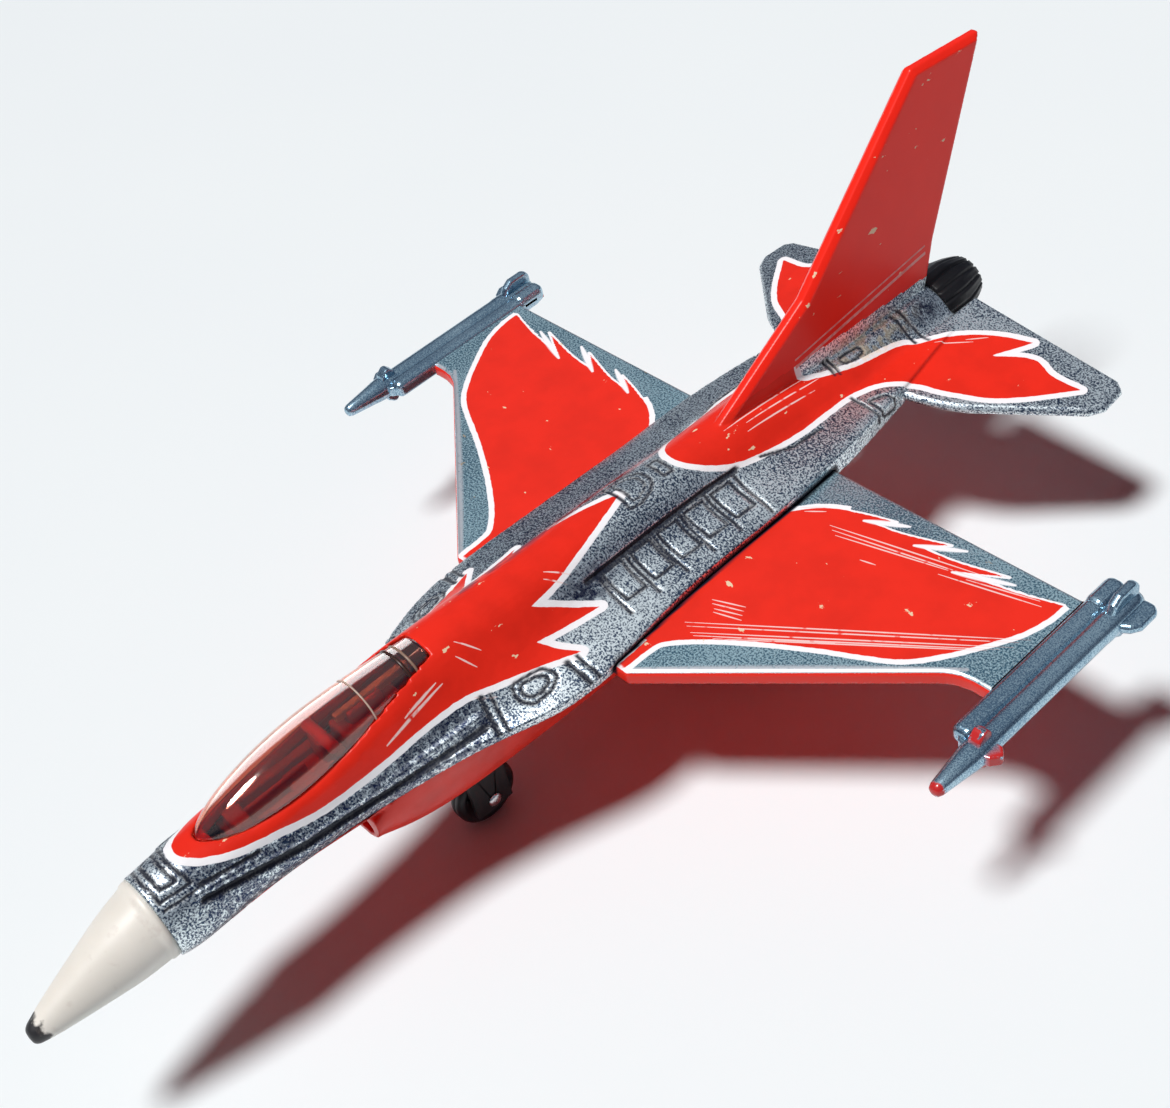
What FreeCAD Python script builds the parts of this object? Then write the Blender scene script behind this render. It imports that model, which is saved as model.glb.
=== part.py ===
import FreeCAD, Part
import Sketcher

import math
import os

from FreeCAD import Placement, Rotation, Vector

# Toy jet fighter: die-cast upper body, moulded wing and belly, three free-rolling wheels.
# Frame: +X is the port side, the nose points to -Y, +Z is up, and the wheels stand on Z = 0.

SIZES = {
    # wing moulding
    "wing_top": 16.0,
    "wing_thick": 1.3,
    "wing_front": -3.6,
    "wing_root_x": 10.2,
    "wing_kink_x": 29.3,
    "wing_kink_y": 11.6,
    "wing_tip_x": 32.6,
    "wing_back": 22.6,
    "wing_tip_round": 4.0,
    "wing_edge_round": 0.45,
    # launch rail and missile, on each wing tip
    "rail_x": 32.2,
    "rail_wide": 1.5,
    "rail_front": 7.2,
    "rail_long": 18.0,
    "rail_high": 1.2,
    "rail_proud": 0.15,
    "missile_x": 34.35,
    "missile_z": 15.3,
    "missile_nose": 2.5,
    "missile_shoulder": 6.2,
    "missile_back": 25.8,
    "missile_r": 0.95,
    "missile_tip_r": 0.45,
    "fin_thick": 0.55,
    "canard_y": 6.9,
    "canard_long": 1.3,
    "canard_span": 3.7,
    "tail_fin_y": 22.0,
    "tail_fin_long": 3.6,
    "tail_fin_span": 4.5,
    # upper casting
    "cast_wall": 1.1,
    "cavity_open": 1.0,
    "slot_gap": 0.05,
    "post_r": 1.5,
    "post_low": 14.7,
    "front_post_y": -9.4,
    "front_post_top": 21.2,
    "rear_post_y": 27.6,
    "rear_post_top": 19.1,
    "well_ledge": 0.45,
    "well_deep": 1.5,
    "seat_gap": 0.02,
    "fin_sunk": 3.0,
    "fin_width": 1.5,
    "fin_bevel": 0.45,
    "fin_foot_front": 17.5,
    "fin_foot_z": 20.4,
    "fin_bend_y": 28.45,
    "fin_bend_z": 26.3,
    "fin_tip_front": 43.05,
    "fin_tip_front_z": 40.0,
    "fin_tip_back": 51.5,
    "fin_tip_back_z": 39.3,
    "fin_knee_y": 44.65,
    "fin_knee_z": 23.1,
    "fin_foot_back": 43.0,
    "tail_root_x": 3.7,
    "tail_tip_x": 19.5,
    "tail_root_z": 17.05,
    "tail_tip_z": 14.25,
    "tail_thick": 0.9,
    "tail_bevel": 0.3,
    "tail_lead_root": 32.9,
    "tail_lead_bend_x": 11.5,
    "tail_lead_bend": 35.2,
    "tail_lead_tip": 41.7,
    "tail_back": 46.35,
    "tail_fillet_reach": 0.8,
    "tail_clip": 0.7,
    # canopy and cockpit
    "canopy_wall": 0.5,
    "canopy_open": 0.3,
    "tub_low": 15.6,
    "tub_floor": 17.8,
    "tub_gap": 0.1,
    "headrest_y": -24.6,
    "headrest_long": 1.6,
    "headrest_x": 1.1,
    "headrest_top": 20.3,
    "deck_front": -22.9,
    "deck_back": -17.2,
    "deck_x": 1.2,
    "deck_top": 19.7,
    # nose cone
    "cone_back": -40.35,
    "cone_spigot_r": 1.9,
    "cone_spigot": 1.6,
    "spigot_fit": 0.03,
    "spigot_end_gap": 0.1,
    # exhaust nozzle
    "nozzle_z": 15.95,
    "nozzle_front": 43.6,
    "nozzle_mid": 46.3,
    "nozzle_back": 49.3,
    "nozzle_front_r": 2.75,
    "nozzle_mid_r": 2.9,
    "nozzle_back_r": 2.05,
    "nozzle_bore_r": 1.5,
    "nozzle_bore": 3.6,
    "nozzle_spigot_r": 1.9,
    "nozzle_spigot": 2.4,
    "petal_count": 15,
    "petal_groove": 0.3,
    # belly moulding
    "belly_wall": 1.2,
    "belly_gap": 0.05,
    "belly_open": 0.5,
    "boss_low": 8.0,
    "trunk_x": 10.0,
    "rivet_r": 0.8,
    "rivet_head_r": 1.5,
    "rivet_head": 0.6,
    "rear_rivet_rise": 2.6,
    "rivet_clear": 0.03,
    "rivet_top": 17.6,
    "rivet_end_gap": 0.2,
    "belly_flat": 7.7,
    "mouth_x": 2.7,
    "mouth_low": 10.4,
    "mouth_high": 12.0,
    "mouth_deep": 2.6,
    "mouth_round": 0.7,
    # wheels and axles
    "wheel_r": 2.9,
    "axle_r": 0.4,
    "axle_clear": 0.05,
    "axle_head_r": 0.62,
    "axle_head": 0.3,
    "side_clear": 0.15,
    "hub_depth": 0.3,
    "hub_r": 1.5,
    "wheel_round": 0.3,
    "nose_wheel_y": -13.15,
    "nose_wheel_wide": 1.5,
    "main_wheel_y": 14.0,
    "main_wheel_wide": 2.0,
    "main_wheel_in": 5.2,
    # gear legs
    "cheek": 0.65,
    "nose_leg_front": -15.0,
    "nose_leg_long": 3.6,
    "nose_leg_top": 9.4,
    "leg_low": 1.9,
    "fork_top": 6.3,
    "main_leg_front": 12.4,
    "main_leg_long": 3.2,
    "main_leg_in": 3.7,
    "main_leg_top": 8.8,
    "main_bridge_low": 6.6,
    "leg_fit": 0.03,
}

# Cross-sections of the upper casting from nose to tail, on the port side.
# y, crown height, then x and z of: upper round, flank, spine foot, shoulder, outer edge, lower edge.
CAST_KEYS = (
    "y", "crown", "round_x", "round_z", "flank_x", "flank_z", "foot_x", "foot_z",
    "shoulder_x", "shoulder_z", "edge_x", "edge_z", "low_x", "low_z",
)
CAST_STATIONS = (
    (-40.35, 19.30, 1.3, 19.00, 2.4, 18.20, 3.1, 17.10, 3.45, 15.90, 3.25, 14.50, 2.15, 13.10),
    (-36.0, 19.80, 1.4, 19.50, 2.5, 18.60, 3.2, 17.30, 3.55, 16.00, 3.45, 14.70, 2.80, 13.60),
    (-33.2, 19.70, 1.4, 19.50, 2.5, 18.90, 3.2, 17.60, 3.60, 16.20, 3.55, 15.00, 3.05, 13.95),
    (-28.2, 19.60, 1.6, 19.50, 2.9, 19.00, 3.4, 17.80, 3.85, 16.40, 4.00, 15.30, 3.50, 14.10),
    (-22.5, 20.60, 1.6, 20.50, 2.9, 19.90, 3.7, 18.30, 4.40, 16.60, 4.80, 15.60, 4.40, 14.40),
    (-18.3, 21.60, 1.7, 21.40, 2.7, 20.60, 3.8, 18.60, 4.90, 16.90, 5.80, 15.80, 5.60, 14.90),
    (-14.2, 21.90, 1.8, 21.50, 2.9, 20.40, 4.1, 18.60, 5.40, 17.10, 7.10, 16.00, 6.90, 15.20),
    (-9.2, 21.70, 1.8, 21.30, 3.0, 20.20, 4.4, 18.60, 6.20, 17.30, 8.75, 16.10, 8.50, 15.20),
    (-4.0, 21.40, 1.8, 21.00, 3.0, 19.90, 4.3, 18.40, 6.40, 17.40, 9.10, 16.30, 8.90, 15.20),
    (2.0, 21.20, 1.8, 20.80, 3.0, 19.70, 3.9, 18.50, 6.10, 17.50, 8.60, 16.70, 8.60, 15.20),
    (10.0, 20.80, 1.8, 20.40, 3.0, 19.40, 3.8, 18.40, 6.00, 17.50, 8.20, 16.80, 8.20, 15.20),
    (18.0, 20.40, 1.7, 20.10, 2.9, 19.20, 3.8, 18.30, 6.00, 17.50, 8.10, 16.80, 8.10, 15.20),
    (27.0, 19.60, 1.6, 19.30, 2.8, 18.50, 3.7, 17.80, 5.80, 17.30, 7.40, 16.90, 7.40, 15.20),
    (34.0, 19.00, 1.6, 18.70, 2.6, 18.00, 3.4, 17.40, 4.90, 17.15, 6.30, 16.90, 6.30, 15.20),
    (43.6, 18.50, 1.5, 18.10, 2.5, 17.30, 3.1, 16.80, 3.90, 16.80, 4.70, 16.80, 4.70, 15.20),
)

# Cross-sections of the belly moulding: y, top half-width and height, flank, bilge and keel.
BELLY_KEYS = (
    "y", "top_x", "top_z", "flank_x", "flank_z", "bilge_x", "bilge_z", "keel",
)
NOSE_PLATE_STATIONS = (
    (-40.35, 2.05, 13.00, 1.75, 12.85, 1.0, 12.65, 12.60),
    (-36.0, 2.70, 13.45, 2.30, 13.10, 1.4, 12.72, 12.60),
    (-33.2, 2.95, 13.82, 2.55, 13.35, 1.6, 12.80, 12.60),
    (-28.2, 3.45, 14.05, 2.95, 13.45, 1.8, 12.90, 12.60),
    (-22.5, 4.35, 14.35, 3.60, 13.60, 2.0, 12.90, 12.60),
)
TRUNK_STATIONS = (
    (-24.0, 3.70, 12.80, 3.75, 11.60, 2.80, 10.30, 9.70),
    (-18.3, 4.90, 14.85, 4.20, 11.20, 3.20, 8.70, 8.20),
    (-12.0, 6.20, 15.15, 4.60, 11.00, 3.40, 8.20, 7.60),
    (-2.0, 6.60, 15.15, 5.00, 11.00, 3.60, 8.00, 7.40),
    (12.0, 6.60, 15.15, 5.10, 11.20, 3.60, 8.20, 7.60),
    (24.0, 6.20, 15.15, 5.00, 11.80, 3.40, 9.60, 9.00),
    (34.0, 5.20, 15.15, 4.10, 12.70, 2.60, 11.30, 10.90),
    (43.6, 3.60, 15.15, 3.00, 13.50, 1.60, 12.50, 12.30),
)

# Circles of the nose cone: y, height of the centre and radius.
CONE_KEYS = ("y", "z", "r")
CONE_STATIONS = (
    (-40.35, 15.90, 3.25),
    (-43.40, 15.35, 2.80),
    (-46.30, 14.82, 2.14),
    (-49.30, 14.27, 1.38),
    (-51.05, 13.96, 0.85),
    (-51.50, 13.88, 0.50),
)

# The canopy: y, half-width of its sill, height of its sill and of its crest.
CANOPY_KEYS = ("y", "sill_x", "sill_z", "crest")
CANOPY_STATIONS = (
    (-35.2, 0.35, 19.40, 19.65),
    (-34.2, 1.25, 19.30, 20.35),
    (-32.0, 2.10, 19.20, 21.25),
    (-28.5, 2.65, 19.25, 22.10),
    (-24.5, 2.75, 19.70, 22.45),
    (-20.3, 2.45, 20.25, 22.35),
    (-17.0, 2.05, 20.65, 22.15),
    (-14.2, 1.60, 21.00, 21.95),
)

# How far a cutting tool reaches past whatever it cuts.
PAST = 60.0

doc = FreeCAD.newDocument("toy_jet")
sheet = doc.addObject("Spreadsheet::Sheet", "Sizes")


def write_sizes():
    for row, (name, value) in enumerate(SIZES.items(), start=1):
        sheet.set(f"A{row}", name)
        sheet.set(f"B{row}", str(value))
        sheet.setAlias(f"B{row}", name)


def write_stations(name, keys, stations):
    """One sheet for each family of cross-sections: a row for each station, a column for each key."""
    table = doc.addObject("Spreadsheet::Sheet", name)
    for row, station in enumerate(stations, start=1):
        for column, (key, value) in enumerate(zip(keys, station)):
            cell = f"{chr(ord('A') + column)}{row}"
            table.set(cell, str(value))
            table.setAlias(cell, f"{key}_at_{row}")
    return table


def read_stations(table, keys, count):
    rows = []
    for row in range(1, count + 1):
        rows.append({key: float(table.get(f"{key}_at_{row}")) for key in keys})
    return rows


def size(name):
    return float(sheet.get(name))


# ---------------------------------------------------------------- sketches and features


def origin_plane(body, role):
    return next(f for f in body.Origin.OriginFeatures if f.Role == role)


def new_body(name):
    body = doc.addObject("PartDesign::Body", name)
    body.Label = name
    return body


def new_sketch(body, name, role, offset="0"):
    """A sketch on one of the body's origin planes, lifted along its normal by an expression."""
    sketch = body.newObject("Sketcher::SketchObject", name)
    sketch.AttachmentSupport = (origin_plane(body, role), [""])
    sketch.MapMode = "FlatFace"
    sketch.setExpression("AttachmentOffset.Base.z", offset)
    return sketch


def sheet_value(expression):
    """What an expression over the sheets gives, to draw a sketch close to its solved shape."""
    value = sheet.evalExpression(expression)
    return float(getattr(value, "Value", value))


def draw_outline(sketch, points):
    """A closed outline whose corners are pinned to expressions over the sheet."""
    spots = [Vector(sheet_value(across), sheet_value(up), 0) for across, up in points]
    first = sketch.GeometryCount
    count = len(spots)
    for i in range(count):
        sketch.addGeometry(Part.LineSegment(spots[i], spots[(i + 1) % count]), False)
    for i in range(count):
        after = first + (i + 1) % count
        sketch.addConstraint(Sketcher.Constraint("Coincident", first + i, 2, after, 1))
    for i, (across, up) in enumerate(points):
        for kind, expression, value in (
            ("DistanceX", across, spots[i].x),
            ("DistanceY", up, spots[i].y),
        ):
            at = sketch.addConstraint(Sketcher.Constraint(kind, -1, 1, first + i, 1, value))
            sketch.setExpression(f"Constraints[{at}]", expression)


def draw_circle(sketch, across, up, radius):
    centre = Vector(sheet_value(across), sheet_value(up), 0)
    ring = sketch.addGeometry(Part.Circle(centre, Vector(0, 0, 1), sheet_value(radius)), False)
    for kind, expression, value in (("DistanceX", across, centre.x), ("DistanceY", up, centre.y)):
        at = sketch.addConstraint(Sketcher.Constraint(kind, -1, 1, ring, 3, value))
        sketch.setExpression(f"Constraints[{at}]", expression)
    at = sketch.addConstraint(Sketcher.Constraint("Radius", ring, sheet_value(radius)))
    sketch.setExpression(f"Constraints[{at}]", radius)


def pad(body, name, sketch, length, midplane=False, backwards=False):
    feature = body.newObject("PartDesign::Pad", name)
    feature.Profile = sketch
    feature.setExpression("Length", length)
    feature.Midplane = midplane
    feature.Reversed = backwards
    body.Tip = feature
    return feature


def round_edges(body, name, base, wanted, radius, kind="PartDesign::Fillet"):
    """Rounds or bevels the edges of the base feature that the test picks."""
    doc.recompute()
    names = [f"Edge{i}" for i, edge in enumerate(base.Shape.Edges, start=1) if wanted(edge)]
    feature = body.newObject(kind, name)
    feature.Base = (base, names)
    feature.setExpression("Size" if kind.endswith("Chamfer") else "Radius", radius)
    body.Tip = feature
    return feature


def part_box(name, length, width, height, x, y, z):
    box = doc.addObject("Part::Box", name)
    for prop, expression in (
        ("Length", length), ("Width", width), ("Height", height),
        ("Placement.Base.x", x), ("Placement.Base.y", y), ("Placement.Base.z", z),
    ):
        box.setExpression(prop, expression)
    return box


def part_cylinder(name, radius, height, x, y, z, along=Vector(0, 0, 1)):
    rod = doc.addObject("Part::Cylinder", name)
    rod.Placement = Placement(Vector(0, 0, 0), Rotation(Vector(0, 0, 1), along))
    for prop, expression in (
        ("Radius", radius), ("Height", height),
        ("Placement.Base.x", x), ("Placement.Base.y", y), ("Placement.Base.z", z),
    ):
        rod.setExpression(prop, expression)
    return rod


def part_fuse(name, shapes):
    fused = doc.addObject("Part::MultiFuse", name)
    fused.Shapes = shapes
    fused.Refine = True
    return fused


def part_cut(name, base, tool):
    result = doc.addObject("Part::Cut", name)
    result.Base = base
    result.Tool = tool
    return result


# ---------------------------------------------------------------- lofted shells


def mirrored_run(half):
    """Port points from the outer edge up to the centre line, then down the starboard side."""
    return half + [(-x, z) for x, z in reversed(half[:-1])]


def smooth_edge(points, y):
    curve = Part.BSplineCurve()
    curve.interpolate([Vector(x, y, z) for x, z in points])
    return curve.toShape()


def straight_edge(start, end, y):
    return Part.makeLine(Vector(start[0], y, start[1]), Vector(end[0], y, end[1]))


def cast_wire(station, inset=0.0, low=None):
    """One section of the casting. With an inset it is the cavity's section, open below."""
    s = station
    half = [
        (s["edge_x"] - inset, s["edge_z"] - 0.5 * inset),
        (s["shoulder_x"] - 0.6 * inset, s["shoulder_z"] - 0.8 * inset),
        (s["foot_x"] - 0.8 * inset, s["foot_z"] - 0.7 * inset),
        (s["flank_x"] - 0.8 * inset, s["flank_z"] - 0.7 * inset),
        (s["round_x"] - 0.4 * inset, s["round_z"] - inset),
        (0.0, s["crown"] - inset),
    ]
    low_x = s["low_x"] - inset
    low_z = s["low_z"] if low is None else low
    top = mirrored_run(half)
    return Part.Wire([
        smooth_edge(top, s["y"]),
        straight_edge(top[-1], (-low_x, low_z), s["y"]),
        straight_edge((-low_x, low_z), (low_x, low_z), s["y"]),
        straight_edge((low_x, low_z), top[0], s["y"]),
    ])


def belly_wire(station, inset=0.0):
    s = station
    half = [
        (s["top_x"] - inset, s["top_z"] + (size("belly_open") if inset else 0.0)),
        (s["flank_x"] - inset, s["flank_z"] + 0.2 * inset),
        (s["bilge_x"] - 0.8 * inset, s["bilge_z"] + 0.7 * inset),
        (0.0, s["keel"] + inset),
    ]
    under = mirrored_run(half)
    return Part.Wire([smooth_edge(under, s["y"]), straight_edge(under[-1], under[0], s["y"])])


def canopy_wire(station, inset=0.0):
    """A half-ellipse over the sill; the cavity's section reaches a little below the sill."""
    s = station
    wide = s["sill_x"] - inset
    high = s["crest"] - s["sill_z"] - inset
    low = s["sill_z"] - size("canopy_open")
    turns = [math.radians(a) for a in range(0, 181, 20)]
    arch = [(wide * math.cos(t), s["sill_z"] + high * math.sin(t)) for t in turns]
    edges = [smooth_edge(arch, s["y"])]
    if inset:
        edges.append(straight_edge(arch[-1], (-wide, low), s["y"]))
        edges.append(straight_edge((-wide, low), (wide, low), s["y"]))
        edges.append(straight_edge((wide, low), arch[0], s["y"]))
    else:
        edges.append(straight_edge(arch[-1], arch[0], s["y"]))
    return Part.Wire(edges)


def box_shape(x0, x1, y0, y1, z0, z1):
    return Part.makeBox(x1 - x0, y1 - y0, z1 - z0, Vector(x0, y0, z0))


def plate(points, direction):
    """A flat plate: the outline's face pushed along a direction."""
    outline = Part.makePolygon(points + points[:1])
    return Part.Face(outline).extrude(direction)


def bevel(solid, wanted, width):
    edges = [edge for edge in solid.Edges if wanted(edge)]
    return solid.makeChamfer(width, edges)


def shape_part(name, shape):
    part = doc.addObject("Part::Feature", name)
    part.Label = name
    part.Shape = shape
    return part


def fin_shape():
    half = size("fin_width") / 2
    sunk = size("fin_sunk")
    outline = [
        (size("fin_foot_front"), size("fin_foot_z") - sunk),
        (size("fin_foot_front"), size("fin_foot_z")),
        (size("fin_bend_y"), size("fin_bend_z")),
        (size("fin_tip_front"), size("fin_tip_front_z")),
        (size("fin_tip_back"), size("fin_tip_back_z")),
        (size("fin_knee_y"), size("fin_knee_z")),
        (size("fin_foot_back"), size("fin_foot_z") - sunk),
    ]
    blade = plate([Vector(-half, y, z) for y, z in outline], Vector(2 * half, 0, 0))

    def is_rim(edge):
        spots = [v.Point for v in edge.Vertexes]
        level = abs(spots[0].x - spots[-1].x) < 0.01
        return level and max(p.z for p in spots) > size("fin_foot_z") + 1.0

    return bevel(blade, is_rim, size("fin_bevel"))


def tailplane_shape():
    """The port tailplane: a curved fillet into a swept leading edge, drooping to a clipped tip."""
    root_x = size("tail_root_x")
    tip_x = size("tail_tip_x")
    fall = (size("tail_tip_z") - size("tail_root_z")) / (tip_x - root_x)
    clip = size("tail_clip")
    bend_x = size("tail_lead_bend_x")

    def spot(x, y):
        return Vector(x, y, size("tail_root_z") + fall * (x - root_x))

    root = spot(root_x, size("tail_lead_root") - size("tail_fillet_reach"))
    waist = spot((root_x + bend_x) / 2, size("tail_lead_root") + size("tail_fillet_reach") / 4)
    bend = spot(bend_x, size("tail_lead_bend"))
    rest = [
        bend,
        spot(tip_x - clip, size("tail_lead_tip")),
        spot(tip_x, size("tail_lead_tip") + 2 * clip),
        spot(tip_x - 0.3 * clip, size("tail_back") - clip),
        spot(tip_x - 1.6 * clip, size("tail_back")),
        spot(root_x, size("tail_back")),
        root,
    ]
    edges = [Part.Arc(root, waist, bend).toShape()]
    edges += [Part.makeLine(start, end) for start, end in zip(rest, rest[1:])]
    blade = Part.Face(Part.Wire(edges)).extrude(Vector(0, 0, -size("tail_thick")))

    def is_rim(edge):
        spots = [v.Point for v in edge.Vertexes]
        flat = abs(spots[0].x - spots[-1].x) > 0.01 or abs(spots[0].y - spots[-1].y) > 0.01
        return flat and max(p.x for p in spots) > root_x + 0.5

    return bevel(blade, is_rim, size("tail_bevel"))


def loft(wires, ruled=False):
    return Part.makeLoft(wires, True, ruled)


def spigot_holes():
    """The sockets for the nose cone's and the nozzle's spigots."""
    gap = size("spigot_end_gap")
    cone = (size("cone_spigot_r"), -PAST, size("cone_back") + size("cone_spigot") + gap)
    nozzle = (size("nozzle_spigot_r"), size("nozzle_front") - size("nozzle_spigot") - gap, PAST)
    return [
        Part.makeCylinder(radius + size("spigot_fit"), end - start,
                          Vector(0, start, size("nozzle_z")), Vector(0, 1, 0))
        for radius, start, end in (cone, nozzle)
    ]


def cockpit_well(canopy_stations):
    """Everything cut out for the cockpit: the opening under the canopy and the canopy's seat."""
    ledge = size("well_ledge")
    inside = canopy_stations[1:]
    return [
        loft([well_wire(s, ledge) for s in inside], True),
        loft([canopy_wire(s, ledge) for s in inside]),
        loft([seat_wire(s) for s in canopy_stations]),
    ]


def rivet_posts(body):
    """Adds the two posts inside the casting and bores them for the rivets."""
    bore_r = size("rivet_r") + size("rivet_clear")
    for end in ("front", "rear"):
        y = size(f"{end}_post_y")
        height = size(f"{end}_post_top") - size("post_low")
        post = Part.makeCylinder(size("post_r"), height, Vector(0, y, size("post_low")))
        bore = Part.makeCylinder(bore_r, size("rivet_top") + size("rivet_end_gap"), Vector(0, y, 0))
        body = body.fuse(post).cut(bore)
    return body


def upper_casting(stations, canopy_stations):
    """Nose, spine, fin and tailplanes in one zinc casting, hollow and open underneath."""
    body = loft([cast_wire(s) for s in stations])
    tail = tailplane_shape()
    body = body.fuse([fin_shape(), tail, tail.mirror(Vector(0, 0, 0), Vector(1, 0, 0))])
    open_by = size("cavity_open")
    cavity = loft([cast_wire(s, size("cast_wall"), s["low_z"] - open_by) for s in stations[1:-1]])
    wing_slot = box_shape(
        -PAST, PAST,
        size("wing_front") - size("slot_gap"), size("wing_back") + size("slot_gap"),
        0, size("wing_top") + size("slot_gap"),
    )
    for tool in [cavity] + cockpit_well(canopy_stations) + [wing_slot]:
        body = body.cut(tool)
    body = rivet_posts(body).cut(spigot_holes())
    return shape_part("upper_casting", body.removeSplitter())


def well_wire(station, inset):
    """The cockpit well's section: straight walls from inside the casting up through the sill."""
    s = station
    wide = s["sill_x"] - inset
    low = size("tub_low") - size("well_deep")
    high = s["crest"] + size("well_deep")
    return Part.makePolygon([
        Vector(-wide, s["y"], low), Vector(wide, s["y"], low),
        Vector(wide, s["y"], high), Vector(-wide, s["y"], high),
        Vector(-wide, s["y"], low),
    ])


def seat_wire(station):
    """The ledge that the canopy sits on, cut to the canopy's outline from its sill upwards."""
    s = station
    wide = s["sill_x"] + size("seat_gap")
    low = s["sill_z"] - size("seat_gap")
    high = s["crest"] + size("well_deep")
    return Part.makePolygon([
        Vector(-wide, s["y"], low), Vector(wide, s["y"], low),
        Vector(wide, s["y"], high), Vector(-wide, s["y"], high), Vector(-wide, s["y"], low),
    ])


def canopy(stations):
    """The clear glazing, a thin bubble with its underside open."""
    wall = size("canopy_wall")
    hollow = [s for s in stations[:-1] if s["sill_x"] > 2 * wall]
    bubble = loft([canopy_wire(s) for s in stations])
    bubble = bubble.cut(loft([canopy_wire(s, wall) for s in hollow]))
    return shape_part("canopy", bubble)


def intake_mouth(front):
    mouth = box_shape(-size("mouth_x"), size("mouth_x"), front - 1, front + size("mouth_deep"),
                      size("mouth_low"), size("mouth_high"))
    corners = [e for e in mouth.Edges if abs(e.Vertexes[0].Y - e.Vertexes[-1].Y) > 1.0]
    return mouth.makeFillet(size("mouth_round"), corners)


def belly_moulding(plate_stations, trunk_stations):
    """The nose underside, the intake trunk and the aft belly, in one hollow moulding."""
    trunk = loft([belly_wire(s) for s in trunk_stations])
    belly = loft([belly_wire(s) for s in plate_stations]).fuse(trunk)
    belly = belly.cut(loft([belly_wire(s, size("belly_wall")) for s in trunk_stations[1:-1]]))
    boss_high = size("post_low") - size("belly_gap") - size("boss_low")
    for end in ("front", "rear"):
        foot = Vector(0, size(f"{end}_post_y"), size("boss_low"))
        belly = belly.fuse(Part.makeCylinder(size("post_r"), boss_high, foot).common(trunk))
    half = size("trunk_x")
    wing_slot = box_shape(
        -half, half,
        size("wing_front") - size("belly_gap"), size("wing_back") + size("belly_gap"),
        size("wing_top") - size("wing_thick") - size("belly_gap"), PAST,
    )
    below = box_shape(-half, half, -PAST, PAST, 0, size("belly_flat"))
    mouth = intake_mouth(trunk_stations[0]["y"])
    for tool in [wing_slot, below, mouth, leg_pockets()] + rivet_holes() + spigot_holes():
        belly = belly.cut(tool)
    return shape_part("belly_moulding", belly.removeSplitter())


def leg_pockets():
    """The holes in the belly that the tops of the two gear legs plug into."""
    fit = size("leg_fit")
    nose_x = size("nose_wheel_wide") / 2 + size("side_clear") + size("cheek") + fit
    nose = box_shape(-nose_x, nose_x, size("nose_leg_front") - fit,
                     size("nose_leg_front") + size("nose_leg_long") + fit,
                     0, size("nose_leg_top") + fit)
    main_x = size("main_wheel_in") - size("side_clear") + fit
    main = box_shape(-main_x, main_x, size("main_leg_front") - fit,
                     size("main_leg_front") + size("main_leg_long") + fit,
                     0, size("main_leg_top") + fit)
    return nose.fuse(main)


def rivet_holes():
    """A clearance hole for each rivet's shank and a counterbore up to the top of its head."""
    clear = size("rivet_clear")
    holes = []
    for end, rise in (("front", 0), ("rear", size("rear_rivet_rise"))):
        spot = Vector(0, size(f"{end}_post_y"), 0)
        head_top = size("belly_flat") + rise + size("rivet_head") + clear
        holes.append(Part.makeCylinder(size("rivet_r") + clear, size("rivet_top"), spot))
        holes.append(Part.makeCylinder(size("rivet_head_r") + clear, head_top, spot))
    return holes


def belly_rivets():
    """The two rivets that hold the belly to the casting, each a shank with a flat head."""
    pieces = []
    for end, low in (("front", "Sizes.belly_flat"), ("rear", "Sizes.belly_flat + Sizes.rear_rivet_rise")):
        y = f"Sizes.{end}_post_y"
        for part, radius, height in (
            ("shank", "Sizes.rivet_r", f"Sizes.rivet_top - ({low})"),
            ("head", "Sizes.rivet_head_r", "Sizes.rivet_head"),
        ):
            pieces.append(part_cylinder(f"{end}_rivet_{part}", radius, height, "0", y, low))
    rivets = part_fuse("belly_rivets", pieces)
    rivets.Label = "belly_rivets"
    return rivets


# ---------------------------------------------------------------- wing moulding


def wing_moulding():
    """One flat wing through the body, with a launch rail and a missile on each tip."""
    body = new_body("wing_moulding")
    outline = new_sketch(body, "WingOutline", "XY_Plane", "Sizes.wing_top - Sizes.wing_thick")
    port = [
        ("Sizes.wing_root_x", "Sizes.wing_front"),
        ("Sizes.wing_kink_x", "Sizes.wing_kink_y"),
        ("Sizes.wing_tip_x", "Sizes.wing_kink_y"),
        ("Sizes.wing_tip_x", "Sizes.wing_back"),
    ]
    starboard = [(f"-{across}", up) for across, up in reversed(port)]
    draw_outline(outline, port + starboard)
    plate_pad = pad(body, "WingPlate", outline, "Sizes.wing_thick")
    kink_x = size("wing_kink_x")

    def is_kink(edge):
        x = abs(edge.Vertexes[0].X)
        upright = abs(edge.Vertexes[0].Z - edge.Vertexes[-1].Z) > 0.1
        return upright and abs(x - kink_x) < 0.01

    swept = round_edges(body, "WingKink", plate_pad, is_kink, "Sizes.wing_tip_round")
    top = size("wing_top")

    def is_lip(edge):
        ends = [v.Point for v in edge.Vertexes]
        level = all(abs(p.z - top) < 0.01 for p in ends)
        along_tip = all(abs(abs(p.x) - size("wing_tip_x")) < 0.01 for p in ends)
        return level and not along_tip

    round_edges(body, "WingLip", swept, is_lip, "Sizes.wing_edge_round")
    for side, sign in (("Port", ""), ("Starboard", "-")):
        add_wing_tip(body, side, sign)
    return body


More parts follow.
